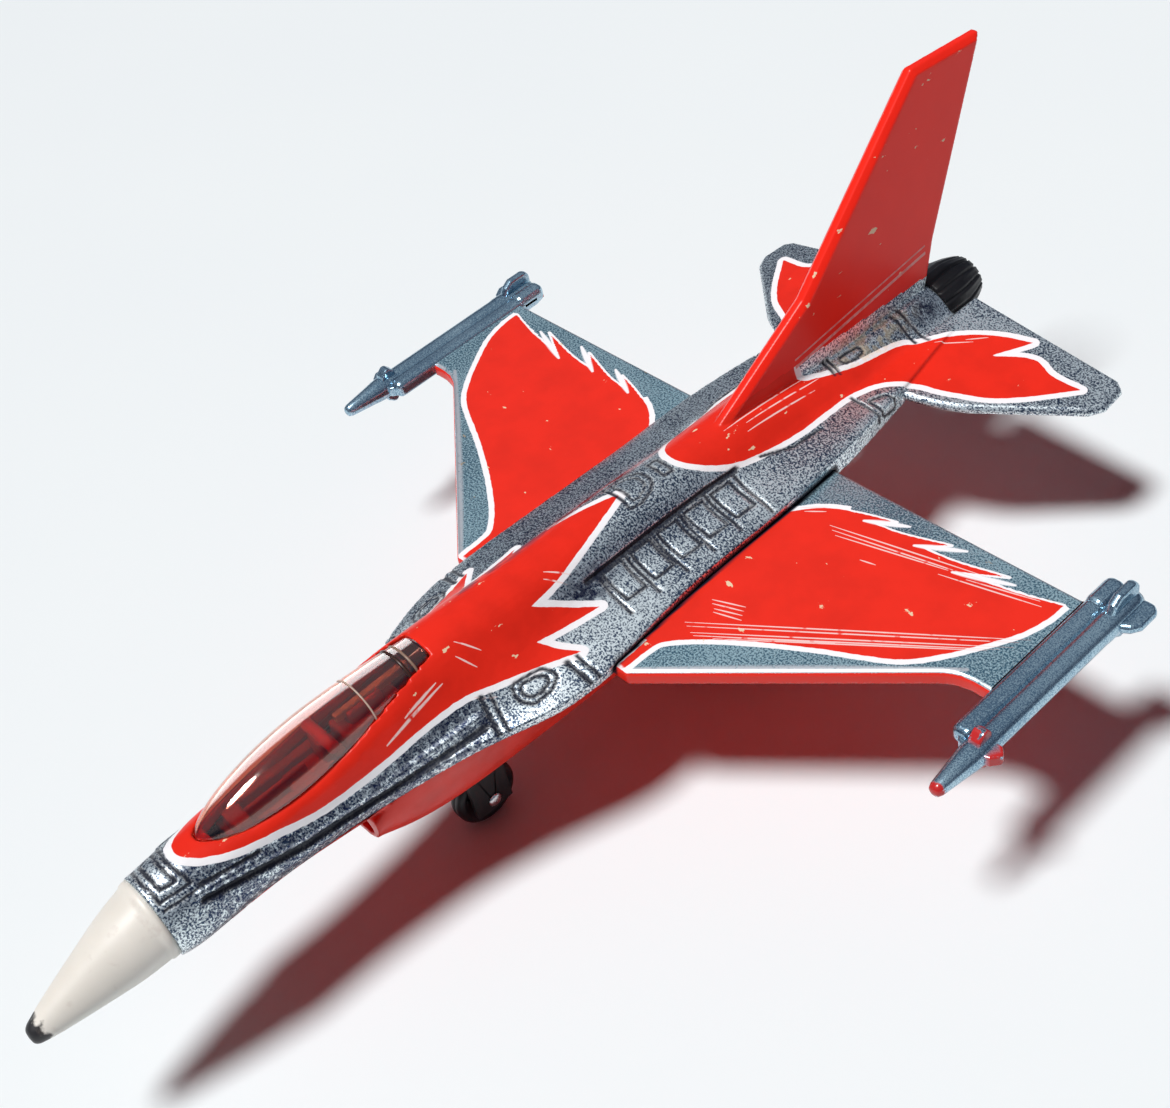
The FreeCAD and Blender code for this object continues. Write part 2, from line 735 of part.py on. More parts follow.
def add_wing_tip(body, side, sign):
    rail = body.newObject("PartDesign::AdditiveBox", f"Rail{side}")
    left = "Sizes.rail_x" if not sign else "-Sizes.rail_x - Sizes.rail_wide"
    bind(rail, {
        "Length": "Sizes.rail_wide", "Width": "Sizes.rail_long", "Height": "Sizes.rail_high",
        "Placement.Base.x": left, "Placement.Base.y": "Sizes.rail_front",
        "Placement.Base.z": "Sizes.wing_top - Sizes.rail_high + Sizes.rail_proud",
    })
    centre = f"{sign}Sizes.missile_x"
    back = Rotation(Vector(0, 0, 1), Vector(0, 1, 0))
    tube = body.newObject("PartDesign::AdditiveCylinder", f"Missile{side}")
    tube.Placement = Placement(Vector(0, 0, 0), back)
    bind(tube, {
        "Radius": "Sizes.missile_r", "Height": "Sizes.missile_back - Sizes.missile_shoulder",
        "Placement.Base.x": centre, "Placement.Base.y": "Sizes.missile_shoulder",
        "Placement.Base.z": "Sizes.missile_z",
    })
    tip = body.newObject("PartDesign::AdditiveCone", f"MissileNose{side}")
    tip.Placement = Placement(Vector(0, 0, 0), back)
    bind(tip, {
        "Radius1": "Sizes.missile_tip_r", "Radius2": "Sizes.missile_r",
        "Height": "Sizes.missile_shoulder - Sizes.missile_nose",
        "Placement.Base.x": centre, "Placement.Base.y": "Sizes.missile_nose",
        "Placement.Base.z": "Sizes.missile_z",
    })
    for fins in ("canard", "tail_fin"):
        span = f"Sizes.{fins}_span"
        thick = "Sizes.fin_thick"
        for name, across, up in (("Level", span, thick), ("Upright", thick, span)):
            blade = body.newObject("PartDesign::AdditiveBox", f"{fins}{name}{side}")
            bind(blade, {
                "Length": across, "Width": f"Sizes.{fins}_long", "Height": up,
                "Placement.Base.x": f"{centre} - {across} / 2",
                "Placement.Base.y": f"Sizes.{fins}_y",
                "Placement.Base.z": f"Sizes.missile_z - {up} / 2",
            })
            body.Tip = blade


def bind(feature, expressions):
    for prop, expression in expressions.items():
        feature.setExpression(prop, expression)


# ---------------------------------------------------------------- nose cone, nozzle, cockpit


def nose_cone(count):
    """A drooping cone lofted through upright circles, with a spigot into the casting."""
    body = new_body("nose_cone")
    rings = []
    for row in range(1, count + 1):
        ring = new_sketch(body, f"ConeRing{row}", "XZ_Plane", f"-ConeStations.y_at_{row}")
        draw_circle(ring, "0", f"ConeStations.z_at_{row}", f"ConeStations.r_at_{row}")
        rings.append(ring)
    loft = body.newObject("PartDesign::AdditiveLoft", "Cone")
    loft.Profile = rings[0]
    loft.Sections = rings[1:]
    body.Tip = loft
    spigot = body.newObject("PartDesign::AdditiveCylinder", "ConeSpigot")
    spigot.Placement = Placement(Vector(0, 0, 0), Rotation(Vector(0, 0, 1), Vector(0, 1, 0)))
    bind(spigot, {
        "Radius": "Sizes.cone_spigot_r", "Height": "Sizes.cone_spigot + 1",
        "Placement.Base.y": "Sizes.cone_back - 1", "Placement.Base.z": "Sizes.nozzle_z",
    })
    body.Tip = spigot
    return body


def exhaust_nozzle():
    """A ring of petals that swells and then closes in, hollow at the back."""
    body = new_body("exhaust_nozzle")
    parts = (
        ("NozzleSpigot", "AdditiveCylinder", {
            "Radius": "Sizes.nozzle_spigot_r", "Height": "Sizes.nozzle_spigot + 0.5",
            "Placement.Base.z": "-Sizes.nozzle_spigot"}),
        ("NozzleFront", "AdditiveCone", {
            "Radius1": "Sizes.nozzle_front_r", "Radius2": "Sizes.nozzle_mid_r",
            "Height": "Sizes.nozzle_mid - Sizes.nozzle_front"}),
        ("NozzleBack", "AdditiveCone", {
            "Radius1": "Sizes.nozzle_mid_r", "Radius2": "Sizes.nozzle_back_r",
            "Height": "Sizes.nozzle_back - Sizes.nozzle_mid",
            "Placement.Base.z": "Sizes.nozzle_mid - Sizes.nozzle_front"}),
        ("NozzleBore", "SubtractiveCylinder", {
            "Radius": "Sizes.nozzle_bore_r", "Height": "Sizes.nozzle_bore + 1",
            "Placement.Base.z": "Sizes.nozzle_back - Sizes.nozzle_front - Sizes.nozzle_bore"}),
        ("PetalGroove", "SubtractiveBox", {
            "Length": "Sizes.petal_groove", "Width": "Sizes.petal_groove + 0.5",
            "Height": "Sizes.nozzle_back - Sizes.nozzle_front",
            "Placement.Base.x": "-Sizes.petal_groove / 2",
            "Placement.Base.y": "Sizes.nozzle_mid_r - Sizes.petal_groove",
            "Placement.Base.z": "Sizes.petal_groove"}),
    )
    for name, kind, expressions in parts:
        feature = body.newObject(f"PartDesign::{kind}", name)
        bind(feature, expressions)
        body.Tip = feature
    doc.recompute()
    ring = body.newObject("PartDesign::PolarPattern", "Petals")
    ring.Originals = [body.Group[-2] if body.Group[-1] is ring else body.Group[-1]]
    ring.Axis = (origin_plane(body, "Z_Axis"), [""])
    ring.Angle = 360
    ring.setExpression("Occurrences", "Sizes.petal_count")
    body.Tip = ring
    body.Placement = Placement(Vector(0, 0, 0), Rotation(Vector(0, 0, 1), Vector(0, 1, 0)))
    bind(body, {
        "Placement.Base.y": "Sizes.nozzle_front", "Placement.Base.z": "Sizes.nozzle_z",
    })
    return body


def cockpit_insert(count):
    """The cockpit floor that fills the well, with a headrest and the deck behind it."""
    body = new_body("cockpit_insert")
    outline = new_sketch(body, "TubOutline", "XY_Plane", "Sizes.tub_low")
    port = []
    for row in range(3, count):
        across = f"CanopyStations.sill_x_at_{row} - Sizes.well_ledge - Sizes.tub_gap"
        port.append((across, f"CanopyStations.y_at_{row}"))
    starboard = [(f"-({across})", up) for across, up in reversed(port)]
    draw_outline(outline, port + starboard)
    pad(body, "Tub", outline, "Sizes.tub_floor - Sizes.tub_low")
    for name, front, long, half, top in (
        ("Headrest", "headrest_y", "Sizes.headrest_long", "headrest_x", "headrest_top"),
        ("Deck", "deck_front", "Sizes.deck_back - Sizes.deck_front", "deck_x", "deck_top"),
    ):
        block = body.newObject("PartDesign::AdditiveBox", name)
        bind(block, {
            "Length": f"2 * Sizes.{half}", "Width": long,
            "Height": f"Sizes.{top} - Sizes.tub_floor + 0.5",
            "Placement.Base.x": f"-Sizes.{half}", "Placement.Base.y": f"Sizes.{front}",
            "Placement.Base.z": "Sizes.tub_floor - 0.5",
        })
        body.Tip = block
    return body


# ---------------------------------------------------------------- wheels, axles and legs


def wheel(name, wide, x, y):
    """A plain moulded wheel with a dished face each side and a bore that runs on the axle."""
    body = new_body(name)
    rim = new_sketch(body, f"{name}_rim", "XY_Plane")
    draw_circle(rim, "0", "0", "Sizes.wheel_r")
    disc = pad(body, f"{name}_disc", rim, wide, midplane=True)
    tyre = round_edges(body, f"{name}_tread", disc, lambda edge: len(edge.Vertexes) == 1,
                       "Sizes.wheel_round")
    for face, low in (("outer", f"{wide} / 2 - Sizes.hub_depth"), ("inner", f"-({wide}) / 2")):
        dish = body.newObject("PartDesign::SubtractiveCylinder", f"{name}_{face}_dish")
        bind(dish, {"Radius": "Sizes.hub_r", "Height": "Sizes.hub_depth", "Placement.Base.z": low})
        body.Tip = dish
    hole = body.newObject("PartDesign::SubtractiveCylinder", f"{name}_bore")
    bind(hole, {
        "Radius": "Sizes.axle_r + Sizes.axle_clear", "Height": f"{wide} + 2",
        "Placement.Base.z": f"-({wide}) / 2 - 1",
    })
    body.Tip = hole
    body.Placement = Placement(Vector(0, 0, 0), Rotation(Vector(0, 0, 1), Vector(1, 0, 0)))
    bind(body, {
        "Placement.Base.x": x, "Placement.Base.y": y, "Placement.Base.z": "Sizes.wheel_r",
    })
    return body


def axle(name, half, y):
    """A steel pin across the model, with a formed head at each end."""
    along = Vector(1, 0, 0)
    z = "Sizes.wheel_r"
    shaft = part_cylinder(f"{name}_shaft", "Sizes.axle_r", f"2 * ({half})", f"-({half})", y, z, along)
    port = part_cylinder(f"{name}_port_head", "Sizes.axle_head_r", "Sizes.axle_head",
                         half, y, z, along)
    starboard = part_cylinder(f"{name}_starboard_head", "Sizes.axle_head_r", "Sizes.axle_head",
                              f"-({half}) - Sizes.axle_head", y, z, along)
    pin = part_fuse(name, [shaft, port, starboard])
    pin.Label = name
    return pin


def nose_gear_leg():
    """A fork that straddles the nose wheel and plugs into the belly."""
    gap = "(Sizes.nose_wheel_wide / 2 + Sizes.side_clear)"
    half = f"({gap} + Sizes.cheek)"
    block = part_box("nose_leg_block", f"2 * {half}", "Sizes.nose_leg_long",
                     "Sizes.nose_leg_top - Sizes.leg_low",
                     f"-{half}", "Sizes.nose_leg_front", "Sizes.leg_low")
    slot = part_box("nose_leg_slot", f"2 * {gap}", "Sizes.nose_leg_long + 2",
                    "Sizes.fork_top - Sizes.leg_low + 1",
                    f"-{gap}", "Sizes.nose_leg_front - 1", "Sizes.leg_low - 1")
    hole = part_cylinder("nose_leg_hole", "Sizes.axle_r + Sizes.leg_fit", f"2 * {half} + 2",
                         f"-{half} - 1", "Sizes.nose_wheel_y", "Sizes.wheel_r", Vector(1, 0, 0))
    tools = part_fuse("nose_leg_tools", [slot, hole])
    leg = part_cut("nose_gear_leg", block, tools)
    leg.Label = "nose_gear_leg"
    return leg


def main_gear_carrier():
    """A bridge across the belly with a leg at each end, bored for the long axle."""
    half = "(Sizes.main_wheel_in - Sizes.side_clear)"
    bridge = part_box("main_bridge", f"2 * {half}", "Sizes.main_leg_long",
                      "Sizes.main_leg_top - Sizes.main_bridge_low",
                      f"-{half}", "Sizes.main_leg_front", "Sizes.main_bridge_low")
    legs = []
    for side, x in (("port", "Sizes.main_leg_in"), ("starboard", f"-{half}")):
        legs.append(part_box(f"main_leg_{side}", f"{half} - Sizes.main_leg_in",
                             "Sizes.main_leg_long", "Sizes.main_leg_top - Sizes.leg_low",
                             x, "Sizes.main_leg_front", "Sizes.leg_low"))
    frame = part_fuse("main_leg_frame", [bridge] + legs)
    hole = part_cylinder("main_leg_hole", "Sizes.axle_r + Sizes.leg_fit", f"2 * {half} + 2",
                         f"-{half} - 1", "Sizes.main_wheel_y", "Sizes.wheel_r", Vector(1, 0, 0))
    carrier = part_cut("main_gear_carrier", frame, hole)
    carrier.Label = "main_gear_carrier"
    return carrier


# ---------------------------------------------------------------- build and write


def build():
    write_sizes()
    tables = {}
    for name, keys, stations in (
        ("CastStations", CAST_KEYS, CAST_STATIONS),
        ("CanopyStations", CANOPY_KEYS, CANOPY_STATIONS),
        ("PlateStations", BELLY_KEYS, NOSE_PLATE_STATIONS),
        ("TrunkStations", BELLY_KEYS, TRUNK_STATIONS),
        ("ConeStations", CONE_KEYS, CONE_STATIONS),
    ):
        tables[name] = write_stations(name, keys, stations)
        doc.recompute()
        tables[name] = read_stations(tables[name], keys, len(stations))
    main_x = "(Sizes.main_wheel_in + Sizes.main_wheel_wide / 2)"
    nose_half = "Sizes.nose_wheel_wide / 2 + Sizes.side_clear + Sizes.cheek + Sizes.leg_fit"
    main_half = "Sizes.main_wheel_in + Sizes.main_wheel_wide + Sizes.side_clear"
    parts = [
        upper_casting(tables["CastStations"], tables["CanopyStations"]),
        canopy(tables["CanopyStations"]),
        belly_moulding(tables["PlateStations"], tables["TrunkStations"]),
        belly_rivets(),
        wing_moulding(),
        nose_cone(len(CONE_STATIONS)),
        exhaust_nozzle(),
        cockpit_insert(len(CANOPY_STATIONS)),
        nose_gear_leg(),
        main_gear_carrier(),
        axle("nose_axle", nose_half, "Sizes.nose_wheel_y"),
        axle("main_axle", main_half, "Sizes.main_wheel_y"),
        wheel("nose_wheel", "Sizes.nose_wheel_wide", "0", "Sizes.nose_wheel_y"),
        wheel("main_wheel_left", "Sizes.main_wheel_wide", main_x, "Sizes.main_wheel_y"),
        wheel("main_wheel_right", "Sizes.main_wheel_wide", f"-{main_x}", "Sizes.main_wheel_y"),
    ]
    doc.recompute()
    return parts


def check(parts):
    for thing in doc.Objects:
        if "Invalid" in thing.State or "Error" in thing.State:
            raise RuntimeError(f"{thing.Label} failed: {thing.State}")
    for part in parts:
        if part.Shape.isNull() or not part.Shape.isValid():
            raise RuntimeError(f"{part.Label} has no valid shape")


def write(parts):
    os.makedirs("parts", exist_ok=True)
    for part in parts:
        part.Shape.exportStep(f"parts/{part.Label}.step")
        box = part.Shape.BoundBox
        print(f"{part.Label}: {len(part.Shape.Solids)} solid(s), {part.Shape.Volume:.2f} mm3, "
              f"x {box.XMin:.2f}..{box.XMax:.2f} y {box.YMin:.2f}..{box.YMax:.2f} "
              f"z {box.ZMin:.2f}..{box.ZMax:.2f}")


made = build()
check(made)
write(made)
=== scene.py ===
"""Looks of a die-cast toy jet. Lengths below are in millimetres; meshes are made in metres."""
import math
from contextlib import contextmanager

import bmesh
import bpy
import numpy as np
from mathutils import Matrix, Vector
from mathutils.bvhtree import BVHTree


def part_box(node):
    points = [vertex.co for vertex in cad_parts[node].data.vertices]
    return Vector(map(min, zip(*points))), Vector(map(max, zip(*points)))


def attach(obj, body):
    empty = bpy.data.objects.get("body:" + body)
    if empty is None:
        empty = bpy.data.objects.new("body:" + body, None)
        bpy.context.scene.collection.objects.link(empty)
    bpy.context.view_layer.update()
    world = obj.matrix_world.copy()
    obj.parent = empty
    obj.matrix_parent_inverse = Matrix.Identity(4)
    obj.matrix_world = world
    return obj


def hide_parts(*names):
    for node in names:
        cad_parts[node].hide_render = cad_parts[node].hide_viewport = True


MM = 0.001
# Points of one mesh closer than this are one point.
WELD = 0.002

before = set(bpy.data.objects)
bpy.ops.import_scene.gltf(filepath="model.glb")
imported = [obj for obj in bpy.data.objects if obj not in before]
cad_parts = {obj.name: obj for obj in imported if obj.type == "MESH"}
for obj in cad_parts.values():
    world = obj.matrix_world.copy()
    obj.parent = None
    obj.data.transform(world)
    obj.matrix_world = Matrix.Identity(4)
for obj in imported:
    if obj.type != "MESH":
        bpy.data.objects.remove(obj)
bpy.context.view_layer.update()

# The crest line of the spine, y and height. Skin coordinates are measured down from it.
CREST = ((-40.0, 19.4), (-36.0, 19.8), (-14.0, 21.9), (10.0, 20.8), (44.0, 18.5))
CREST_FALL = 0.8

# Widths of the white trim round the red paint, on the body and on the wing.
BODY_TRIM = 0.62
WING_TRIM = 0.50

# Red paint on the port half of the casting: distance down the skin from the crest, then y.
# A third entry marks a sharp corner; the other points are joined by a smooth curve.
COLLAR = (
    (-3.0, -36.9, 1), (0.0, -36.9), (1.2, -36.4), (2.4, -35.2), (3.6, -33.3), (4.7, -30.4),
    (5.8, -27.0), (6.4, -22.0), (6.5, -18.1), (6.9, -14.4), (7.9, -11.2), (9.1, -7.8),
    (10.3, -4.8, 1), (8.8, -5.9), (7.0, -6.9, 1), (7.5, -4.0), (7.9, -1.0, 1), (6.0, -3.2),
    (3.9, -5.6, 1), (3.3, -2.5), (1.9, 1.4), (0.0, 6.5, 1), (-3.0, 6.5, 1),
)
SADDLE = (
    (-3.0, 12.4, 1), (0.0, 12.4), (1.2, 12.7), (2.4, 13.6), (3.6, 15.0), (4.5, 16.7), (5.2, 19.6),
    (5.6, 22.9), (5.5, 26.0), (5.5, 29.2), (6.4, 32.1), (8.7, 34.3), (10.9, 35.2), (12.5, 36.0),
    (14.8, 37.3), (17.0, 39.4), (20.0, 43.2, 1), (17.0, 42.9), (14.3, 43.4), (11.2, 41.3, 1),
    (12.9, 45.0, 1), (10.0, 43.7), (7.6, 41.8), (6.2, 39.9), (5.3, 38.2), (4.3, 36.7), (3.8, 34.4),
    (3.4, 32.0), (2.7, 29.8), (1.9, 27.8), (0.8, 26.4), (-3.0, 26.0, 1),
)

# Red paint on the top of the port wing: x and y.
WING_FLAME = (
    (7.0, 15.2, 1), (8.8, 17.4), (10.6, 19.0), (13.2, 20.1), (15.9, 20.9, 1), (14.0, 19.7, 1),
    (16.8, 20.1), (20.9, 21.4, 1), (18.9, 19.9, 1), (22.0, 20.2), (26.4, 21.3, 1), (22.9, 19.4, 1),
    (25.5, 19.9), (28.4, 20.5), (31.2, 21.4, 1), (31.1, 19.6), (30.4, 17.2), (28.9, 14.6),
    (27.3, 12.2), (25.4, 10.1), (22.8, 8.6), (20.0, 7.2), (16.0, 4.9), (12.6, 2.6), (10.5, 0.7),
    (9.9, -0.6), (9.8, -4.0, 1), (9.2, -4.0, 1), (9.1, -0.2, 1), (8.4, -0.4), (7.0, -1.0, 1),
)

# The row of hatches on the port side.
HATCHES = 5
HATCH_ROW_START = 0.9
HATCH_ROW_STEP = 2.95
HATCH_LENGTH = 2.05

# A fine engraved line's half width and depth, and where the bend at a soft corner starts.
LINE = 0.16
CUT = 0.11
CORNER = 0.25


def scored(*points):
    """A fine engraved line through the points."""
    return points, False, LINE, CUT


def scored_loop(*points):
    """A fine engraved outline."""
    return points, True, LINE, CUT


def hatch_row():
    """Five access hatches side by side under the spine's step, with a seam between each pair."""
    marks = []
    for i in range(HATCHES):
        front = HATCH_ROW_START + i * HATCH_ROW_STEP
        back = front + HATCH_LENGTH
        seam = front - 0.42
        marks.append(scored_loop((5.5, front), (9.0, front + 0.1), (9.0, back), (5.5, back)))
        marks.append(scored((5.1, seam), (10.3, seam - 0.1)))
    end = HATCH_ROW_START + HATCHES * HATCH_ROW_STEP - 0.2
    marks.append(scored((5.0, end), (10.7, end - 0.1)))
    return marks


def soft_loop(*points):
    """A fine engraved outline with each corner replaced by two points, so that it turns softly."""
    out = []
    for i, (x, y) in enumerate(points):
        for other_x, other_y in (points[i - 1], points[(i + 1) % len(points)]):
            share = min(0.4, CORNER / math.hypot(other_x - x, other_y - y))
            out.append((x + share * (other_x - x), y + share * (other_y - y)))
    return scored_loop(*out)


# Engraved and raised detail on the casting, in skin coordinates on both sides:
# (points, closed, half width, depth), where a negative depth stands proud.
CAST_MARKS = [
    # the step along the foot of the spine, above the hatches
    (((5.2, -0.5), (4.95, 6.0), (4.8, 12.5), (4.9, 15.9)), False, 0.30, 0.26),
    scored((5.3, 18.5), (6.5, 21.5), (6.6, 24.5)),
    # hatch behind the nose, one outline inside another
    scored((0.0, -39.9), (2.5, -39.8), (3.0, -37.3), (1.2, -37.6), (0.0, -37.7)),
    scored((0.0, -39.3), (1.7, -39.2), (2.0, -38.1), (0.0, -38.2)),
    scored((3.3, -39.8), (3.9, -36.9), (4.3, -35.6)),
    # double hatch on the strake
    soft_loop((8.8, -10.6), (9.2, -8.0), (10.6, -7.3), (11.5, -8.4), (11.6, -10.3), (10.3, -11.0)),
    soft_loop((9.3, -10.1), (9.6, -8.5), (10.5, -8.0), (11.0, -8.7), (11.1, -9.9), (10.2, -10.4)),
    # double seams across the strake
    (((8.0, -13.0), (10.2, -13.4), (12.8, -13.8)), False, 0.20, 0.18),
    scored((8.3, -12.3), (10.2, -12.6), (12.8, -13.0)),
    (((10.3, -6.2), (13.9, -5.9)), False, 0.20, 0.18),
    scored((10.4, -5.3), (14.0, -5.0)),
    # door on the crest, the square behind it, and the oval at the fin
    scored((0.0, 6.3), (1.9, 6.2), (2.05, 7.3), (1.6, 8.6), (0.9, 9.4), (0.0, 9.6)),
    (((0.0, 7.0), (1.3, 6.9), (1.45, 7.4), (1.1, 8.3), (0.6, 8.8), (0.0, 8.9)), False, 0.12, 0.10),
    scored((0.0, 10.6), (1.1, 10.6), (1.1, 11.5), (0.0, 11.5)),
    soft_loop((1.5, 31.0), (2.3, 31.0), (2.7, 32.2), (2.5, 33.4), (1.7, 33.4), (1.5, 32.2)),
    # tail seams and the access panel beside the tailplane
    scored((0.9, 29.6), (2.8, 29.5)),
    scored((0.9, 30.1), (3.0, 30.0)),
    scored((0.9, 38.0), (3.0, 38.1), (5.0, 38.1)),
    scored((0.9, 38.9), (3.0, 39.0), (5.6, 39.2)),
    scored((5.9, 29.1), (9.9, 29.2)),
    soft_loop((7.2, 29.7), (7.8, 31.4), (9.6, 31.8), (9.7, 29.8)),
    # the bead along the nose's side and the groove under it
    (((4.2, -37.2), (5.5, -32.7), (6.5, -29.5), (7.2, -26.1), (8.1, -22.4), (8.6, -19.3),
      (9.0, -16.6), (9.4, -13.9)), False, 0.42, -0.22),
    (((4.9, -37.2), (6.3, -32.7), (7.3, -29.5), (8.0, -26.1), (8.9, -22.4), (9.6, -19.3),
      (10.1, -16.6), (10.5, -14.1)), False, 0.32, 0.20),
    (((3.6, -36.9), (4.3, -35.0), (5.0, -32.4)), False, 0.22, 0.14),
]

# Panel lines on the belly: x and y.
BELLY_MARKS = [
    scored_loop((-2.9, -9.0), (2.9, -9.0), (2.9, 8.5), (-2.9, 8.5)),
    scored((-2.9, -0.3), (2.9, -0.3)),
    scored_loop((-2.6, 17.8), (2.6, 17.8), (2.4, 25.0), (-2.4, 25.0)),
    scored((-3.6, 32.0), (3.6, 32.0)),
    scored((-3.2, 38.0), (3.2, 38.0)),
    scored((-2.2, -36.5), (2.2, -36.5)),
    scored((-2.6, -31.0), (2.6, -31.0)),
]

# ------------------------------------------------------------------ meshes


def link(obj):
    """Adds an object to the scene."""
    bpy.context.scene.collection.objects.link(obj)
    return obj


def mesh_object(name, points, faces, smooth=True):
    """An object from points in millimetres and faces."""
    data = bpy.data.meshes.new(name)
    data.from_pydata([tuple(MM * c for c in p) for p in points], [], faces)
    data.update()
    obj = link(bpy.data.objects.new(name, data))
    shade(obj, smooth)
    return obj


def vertices_mm(obj):
    """The mesh's points in millimetres."""
    return vertex_rows(obj, "co") / MM


def vertex_rows(obj, field):
    """A vector field of the mesh's vertices as rows of three."""
    rows = np.zeros(3 * len(obj.data.vertices), np.float32)
    obj.data.vertices.foreach_get(field, rows)
    return rows.reshape(-1, 3).astype(float)


def shade(obj, smooth):
    """Shades every face smooth or flat."""
    obj.data.polygons.foreach_set("use_smooth", [smooth] * len(obj.data.polygons))


def store(obj, name, values):
    """Keeps one number for each vertex, for a material to read."""
    layer = obj.data.attributes.new(name, "FLOAT", "POINT")
    layer.data.foreach_set("value", np.asarray(values, np.float32))


def applied(obj):
    """Replaces the object's mesh by the result of its modifiers."""
    depsgraph = bpy.context.evaluated_depsgraph_get()
    data = bpy.data.meshes.new_from_object(obj.evaluated_get(depsgraph))
    obj.modifiers.clear()
    old = obj.data
    obj.data = data
    bpy.data.meshes.remove(old)
    return obj


def dense_skin(node, name, pitch):
    """A copy of a CAD node in small even faces, laid back onto the CAD surface."""
    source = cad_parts[node]
    piece = link(bpy.data.objects.new(name, source.data.copy()))
    even = piece.modifiers.new("Even", "REMESH")
    even.mode = "VOXEL"
    even.voxel_size = pitch * MM
    snap = piece.modifiers.new("Snap", "SHRINKWRAP")
    snap.target = source
    snap.wrap_method = "NEAREST_SURFACEPOINT"
    applied(piece)
    piece.data.materials.clear()
    shade(piece, True)
    return piece


@contextmanager
def edited(obj):
    """The object's mesh as a bmesh, written back at the end."""
    shell = bmesh.new()
    shell.from_mesh(obj.data)
    yield shell
    shell.to_mesh(obj.data)
    shell.free()


def drop_vertices(obj, unwanted):
    """Deletes the marked vertices and every face that uses one."""
    with edited(obj) as shell:
        shell.verts.ensure_lookup_table()
        doomed = [shell.verts[i] for i in np.nonzero(unwanted)[0]]
        bmesh.ops.delete(shell, geom=doomed, context="VERTS")


def smooth_run(points, steps=6):
    """A Catmull-Rom curve through the points, open."""
    spots = [np.array(p, float) for p in points]
    spots = [2 * spots[0] - spots[1]] + spots + [2 * spots[-1] - spots[-2]]
    out = []
    for a, b, c, d in zip(spots, spots[1:], spots[2:], spots[3:]):
        for t in np.arange(steps) / steps:
            out.append(0.5 * (2 * b + (c - a) * t + (2 * a - 5 * b + 4 * c - d) * t ** 2
                              + (3 * b - a - 3 * c + d) * t ** 3))
    out.append(spots[-2])
    return out


def outline(points):
    """A closed outline: smooth between its marked corners and sharp at them."""
    corners = [i for i, p in enumerate(points) if len(p) == 3]
    loop = []
    for start, end in zip(corners, corners[1:] + [corners[0] + len(points)]):
        run = [points[i % len(points)][:2] for i in range(start, end + 1)]
        loop += smooth_run(run)[:-1]
    return np.array(loop)


def distance_to_run(spots, run, closed):
    """How far each spot lies from a polyline."""
    best = np.full(len(spots), 1e9)
    ends = np.roll(run, -1, axis=0) if closed else run[1:]
    for a, b in zip(run, ends):
        along = b - a
        t = np.clip(((spots - a) @ along) / max(along @ along, 1e-12), 0, 1)
        gap = spots - a - t[:, None] * along
        best = np.minimum(best, np.einsum("ij,ij->i", gap, gap))
    return np.sqrt(best)


def inside_of(spots, loop):
    """True for each spot inside a closed outline."""
    inside = np.zeros(len(spots), bool)
    for a, b in zip(loop, np.roll(loop, -1, axis=0)):
        if a[1] == b[1]:
            continue
        spans = (a[1] > spots[:, 1]) != (b[1] > spots[:, 1])
        cross = a[0] + (spots[:, 1] - a[1]) * (b[0] - a[0]) / (b[1] - a[1])
        inside ^= spans & (spots[:, 0] < cross)
    return inside


def depth_inside(spots, points, reach=3.0):
    """Signed distance into an outline, positive inside. Past reach it is only a large number."""
    loop = outline(points)
    near = np.all((spots > loop.min(0) - reach) & (spots < loop.max(0) + reach), axis=1)
    depth = np.full(len(spots), -reach)
    gap = distance_to_run(spots[near], loop, True)
    depth[near] = np.where(inside_of(spots[near], loop), gap, -gap)
    return depth


def skin_coordinates(points):
    """Distance down the skin from the crest line, about, and y."""
    crest = np.interp(points[:, 1], [p[0] for p in CREST], [p[1] for p in CREST])
    down = np.abs(points[:, 0]) + CREST_FALL * (crest - points[:, 2])
    return np.stack([down, points[:, 1]], axis=1)


def carve(obj, spots, marks, where):
    """Pushes the surface in along each mark, or out where its depth is negative."""
    points = vertices_mm(obj)
    normals = vertex_rows(obj, "normal")
    shift = np.zeros(len(points))
    for run, closed, half, depth in marks:
        run = np.array(run, float)
        near = where & np.all((spots > run.min(0) - 1.0) & (spots < run.max(0) + 1.0), axis=1)
        if not near.any():
            continue
        gap = distance_to_run(spots[near], run, closed)
        profile = np.clip(1 - gap / (1.5 * half), 0, 1)
        profile = profile * profile * (3 - 2 * profile)
        cut = -depth * profile
        old = shift[near]
        shift[near] = np.where(np.abs(cut) > np.abs(old), cut, old)
    points += normals * shift[:, None]
    obj.data.vertices.foreach_set("co", (points * MM).astype(np.float32).ravel())
    obj.data.update()
    return shift


def grid_faces(rows, columns, closed):
    """Faces of a grid of rows by columns points, its columns closed into a ring if asked."""
    faces = []
    for r in range(rows - 1):
        for c in range(columns if closed else columns - 1):
            d = (c + 1) % columns
            faces.append((r * columns + c, r * columns + d, (r + 1) * columns + d, (r + 1) * columns + c))
    return faces


def lathe(name, profile, turns=72, centre=(0, 0, 0), axis="Y"):
    """A turned piece: profile points are (place along the axis, radius)."""
    points = []
    for along, radius in profile:
        for k in range(turns):
            a = 2 * math.pi * k / turns
            across, up = radius * math.cos(a), radius * math.sin(a)
            spot = {"X": (along, across, up), "Y": (across, along, up), "Z": (across, up, along)}[axis]
            points.append(tuple(s + c for s, c in zip(spot, centre)))
    return closed_mesh(name, points, grid_faces(len(profile), turns, True))


